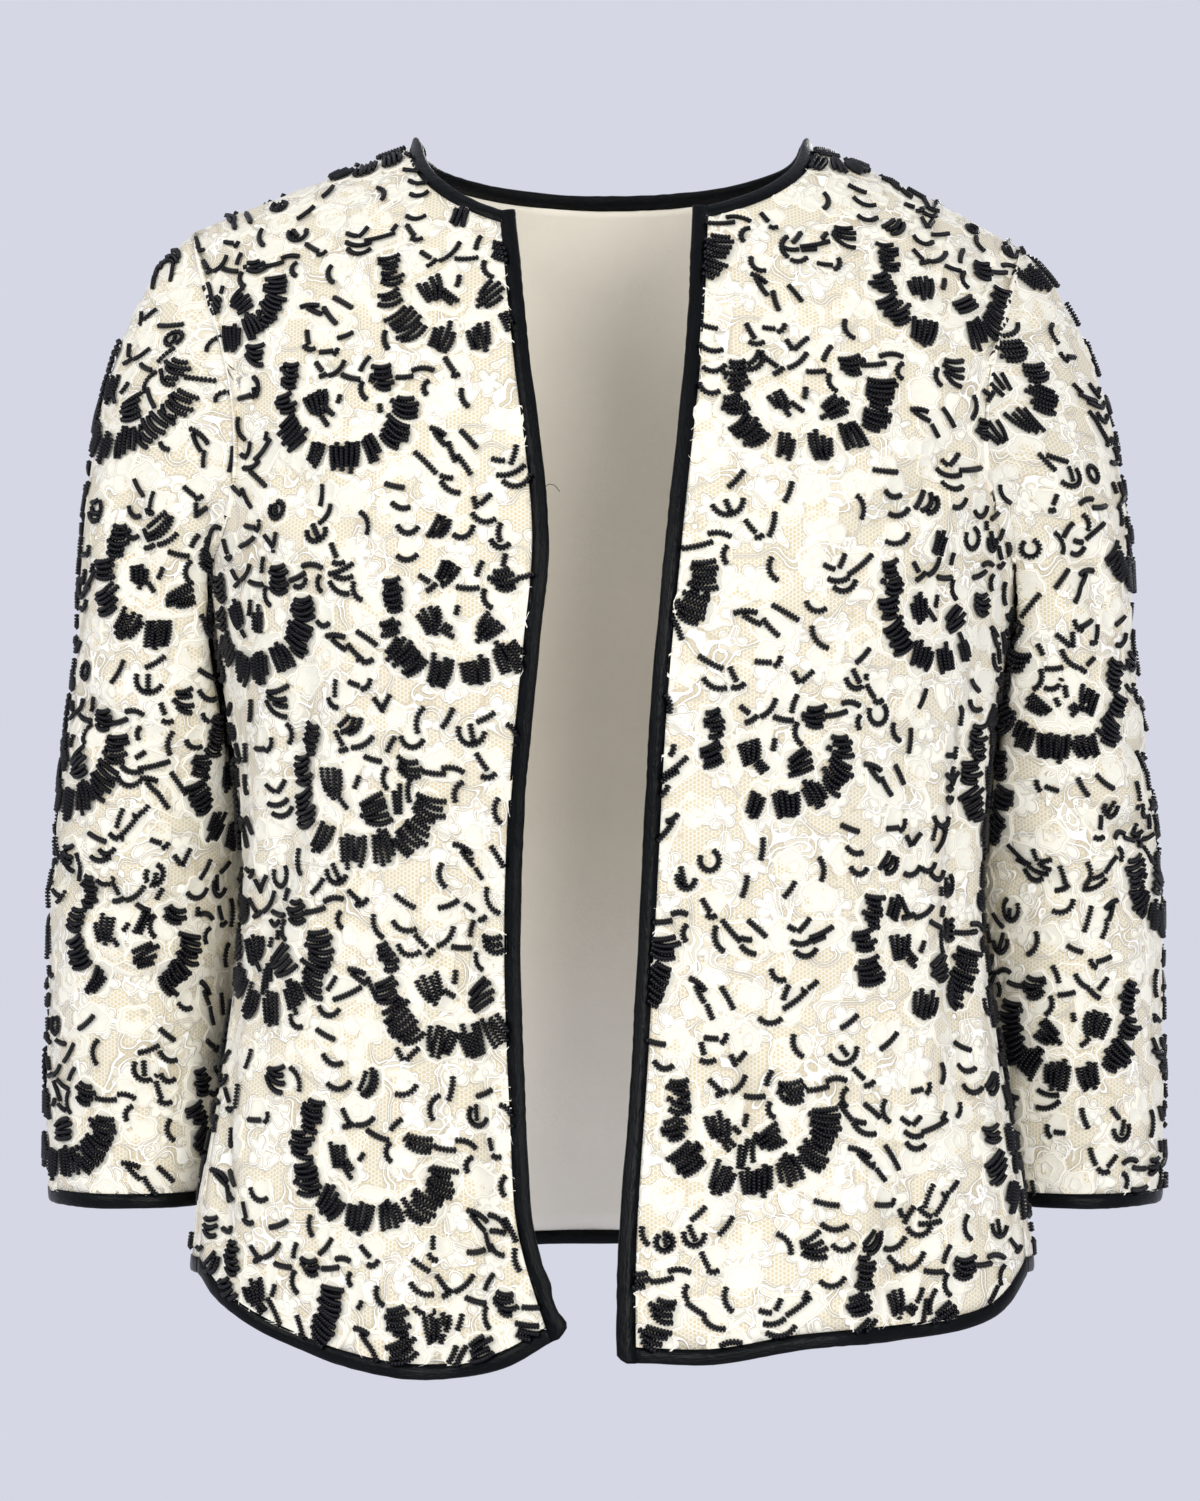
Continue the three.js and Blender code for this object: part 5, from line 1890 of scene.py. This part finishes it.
class CardiganSizes(bpy.types.PropertyGroup):
    """Sizes of the trimmings."""

    bead_width: length_property("Bead width", "Width of a seed bead across its string", 0.0028)
    bead_pitch: length_property("Bead pitch", "Step from bead to bead on a string", 0.0015)
    petal_height: length_property("Petal height", "How far a petal's cord stands up", 0.00055)
    net_pitch: length_property("Net pitch", "Step from hole to hole in the net", 0.0019)
    flower_step: length_property("Flower step", "Step between the flat flowers of the lace", 0.019)
    pucker: length_property("Pucker", "How far the satin binding pulls in and out", 0.00028)


class CardiganColours(bpy.types.PropertyGroup):
    """Colours of the cloths and trimmings."""

    lace: colour_property("Lace", "Close clothwork of the lace", (0.875, 0.845, 0.71))
    # Also the base of the painted shadow beside the lace's cords and round its petals
    net: colour_property("Net", "Cloth seen through the net", (0.69, 0.585, 0.38))
    cord: colour_property("Cord", "Cord round the lace motifs", (0.97, 0.95, 0.86))
    lining: colour_property("Lining", "Lining of the back", (0.95, 0.90, 0.77))
    satin: colour_property("Satin", "Binding round every edge", (0.0022, 0.003, 0.0038))
    beads: colour_property("Beads", "Seed beads", (0.003, 0.003, 0.0045))
    studio: colour_property("Studio", "Floor and the air round it", (0.665, 0.68, 0.775))


def lace_piece(name, thickness):
    """One lace panel with its wall, which replaces the solid of the same name."""
    shell = cloth_mesh(garment()[name])
    piece = finished(shell, f"lace_{name}", [lace_material(), lining_material()])
    wall = give_wall(piece, thickness)
    wall.material_offset_rim = 0
    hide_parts(name)


class CARDIGAN_OT_fronts(bpy.types.Operator):
    """Lay the two lace fronts"""

    bl_idname = "cardigan.fronts"
    bl_label = "Fronts"

    def execute(self, context):
        for name in ("front_left", "front_right"):
            lace_piece(name, LINED_WALL)
        return {"FINISHED"}


class CARDIGAN_OT_back(bpy.types.Operator):
    """Lay the lace back and its lining"""

    bl_idname = "cardigan.back"
    bl_label = "Back and lining"

    def execute(self, context):
        lace_piece("back", LACE_WALL)
        shell = cloth_mesh(garment()["back"], LACE_WALL + SEAM_GAP)
        lining = finished(shell, "lining_of_back", [lining_material()])
        give_wall(lining, LINING_WALL).material_offset = 0
        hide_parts("lining_back")
        return {"FINISHED"}


class CARDIGAN_OT_sleeves(bpy.types.Operator):
    """Lay the two lace sleeves"""

    bl_idname = "cardigan.sleeves"
    bl_label = "Sleeves"

    def execute(self, context):
        for name in ("sleeve_left", "sleeve_right"):
            lace_piece(name, LINED_WALL)
        return {"FINISHED"}


class CARDIGAN_OT_bindings(bpy.types.Operator):
    """Fold the satin strips over every edge"""

    bl_idname = "cardigan.bindings"
    bl_label = "Bindings"

    def execute(self, context):
        pieces = garment()
        satin = satin_material()
        ups = {}
        for seed, name in enumerate(("left", "right")):
            lead, hem, ups[name] = front_edges(pieces[f"front_{name}"])
            binding = f"binding_front_{name}"
            strip(f"satin_front_{name}", binding, lead, False, satin, seed, ROLLS[name])
            strip(f"satin_hem_{name}", f"binding_hem_{name}", hem, False, satin, seed + 2)
            cuff = cuff_edge(pieces[f"sleeve_{name}"])
            strip(f"satin_cuff_{name}", f"binding_cuff_{name}", cuff, True, satin, seed + 4)
        neck = neck_edge(pieces, ups["right"], ups["left"])
        strip("satin_neck", "binding_neck", neck, False, satin, 6)
        hem = back_hem_edge(pieces["back"])
        strip("satin_hem_back", "binding_hem_back", hem, False, satin, 7)
        return {"FINISHED"}


class CARDIGAN_OT_seams(bpy.types.Operator):
    """Sew the shoulder and side seams, and leave a thread end loose"""

    bl_idname = "cardigan.seams"
    bl_label = "Seams"

    def execute(self, context):
        for name, edge in seam_edges().items():
            seam_ridge(f"seam_{name}", edge)
        lead, _, _ = front_edges(garment()["front_right"])
        loose_thread(lead)
        return {"FINISHED"}


class CARDIGAN_OT_petals(bpy.types.Operator):
    """Lay the raised petals of the lace"""

    bl_idname = "cardigan.petals"
    bl_label = "Lace petals"

    def execute(self, context):
        for name, chart in charts().items():
            mesh = petal_mesh(chart.cloth, chart.petals, sizes().petal_height)
            sewn_on(placed(mesh, f"petals_{name}", [petal_material()]))
        return {"FINISHED"}


class CARDIGAN_OT_beads(bpy.types.Operator):
    """Sew on the strings of seed beads"""

    bl_idname = "cardigan.beads"
    bl_label = "Beads"

    def execute(self, context):
        size = sizes()
        height = size.bead_width * BEAD_FLATNESS
        scale = np.array([size.bead_pitch * BEAD_OVERLAP, size.bead_width, height])
        template = bead_template()
        for name, chart in charts().items():
            frames = bead_frames(chart.cloth, chart.strings, size)
            count = math.ceil(len(frames) / BEADS_A_PIECE)
            for part, share in enumerate(np.array_split(frames, count)):
                spots, faces = repeated(template, share, scale)
                mesh = mesh_from(f"beads_{name}_{part}", spots, faces)
                sewn_on(placed(mesh, mesh.name, [bead_material()]))
        template.free()
        return {"FINISHED"}


class CARDIGAN_OT_stage(bpy.types.Operator):
    """Set the floor, the soft lights and the camera"""

    bl_idname = "cardigan.stage"
    bl_label = "Studio"

    def execute(self, context):
        scene = context.scene
        scene.view_settings.view_transform = "Standard"
        bm = bmesh.new()
        bmesh.ops.create_circle(bm, cap_ends=True, segments=FLOOR_SEGMENTS, radius=FLOOR_RADIUS)
        bmesh.ops.translate(bm, verts=bm.verts, vec=(0, 0, FLOOR_LEVEL))
        mesh = bpy.data.meshes.new("studio_floor")
        bm.to_mesh(mesh)
        bm.free()
        mesh.materials.append(floor_material())
        floor = bpy.data.objects.new("studio_floor", mesh)
        scene.collection.objects.link(floor)
        floor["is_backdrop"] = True

        world = bpy.data.worlds.new("studio")
        world.use_nodes = True
        background = world.node_tree.nodes["Background"]
        background.inputs["Color"].default_value = rgba(colours().studio)
        background.inputs["Strength"].default_value = AIR_STRENGTH
        scene.world = world
        for lamp in LAMPS:
            light = bpy.data.lights.new(lamp.name, "AREA")
            light.shape = "DISK"
            light.size = lamp.size
            light.energy = lamp.power
            light.color = lamp.colour
            holder = bpy.data.objects.new(lamp.name, light)
            aim = Vector(LAMP_AIM) - Vector(lamp.place)
            holder.matrix_world = (
                Matrix.Translation(lamp.place) @ aim.to_track_quat("-Z", "Y").to_matrix().to_4x4()
            )
            scene.collection.objects.link(holder)

        lens = bpy.data.cameras.new("camera")
        lens.sensor_width = SENSOR_WIDTH
        lens.lens = SENSOR_WIDTH * CAMERA_FOCUS / PHOTO_HEIGHT
        camera = bpy.data.objects.new("camera", lens)
        camera.location = CAMERA_PLACE
        camera.rotation_euler = (math.radians(90), 0, 0)
        scene.collection.objects.link(camera)
        scene.camera = camera
        return {"FINISHED"}


class CARDIGAN_PT_panel(bpy.types.Panel):
    """Sizes, colours and making steps of the cardigan"""

    bl_label = "Cardigan"
    bl_idname = "CARDIGAN_PT_panel"
    bl_space_type = "VIEW_3D"
    bl_region_type = "UI"
    bl_category = "Cardigan"

    def draw(self, context):
        for settings in (context.scene.cardigan_sizes, context.scene.cardigan_colours):
            box = self.layout.box()
            for name in settings.__annotations__:
                box.prop(settings, name)
        for operator in OPERATORS:
            self.layout.operator(operator.bl_idname)


OPERATORS = (
    CARDIGAN_OT_stage,
    CARDIGAN_OT_fronts,
    CARDIGAN_OT_back,
    CARDIGAN_OT_sleeves,
    CARDIGAN_OT_bindings,
    CARDIGAN_OT_seams,
    CARDIGAN_OT_petals,
    CARDIGAN_OT_beads,
)
CLASSES = (CardiganSizes, CardiganColours, *OPERATORS, CARDIGAN_PT_panel)


def register():
    for made in CLASSES:
        bpy.utils.register_class(made)
    bpy.types.Scene.cardigan_sizes = bpy.props.PointerProperty(type=CardiganSizes)
    bpy.types.Scene.cardigan_colours = bpy.props.PointerProperty(type=CardiganColours)


def unregister():
    del bpy.types.Scene.cardigan_colours
    del bpy.types.Scene.cardigan_sizes
    for made in reversed(CLASSES):
        bpy.utils.unregister_class(made)


def main():
    register()
    bpy.ops.cardigan.stage()
    bpy.ops.cardigan.fronts()
    bpy.ops.cardigan.back()
    bpy.ops.cardigan.sleeves()
    bpy.ops.cardigan.bindings()
    bpy.ops.cardigan.seams()
    bpy.ops.cardigan.petals()
    bpy.ops.cardigan.beads()
    boxes = {
        name: [list(corner) for corner in box]
        for name, box in (("cad", CAD_BOX), ("visual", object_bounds()))
    }


if __name__ == "__main__":
    main()
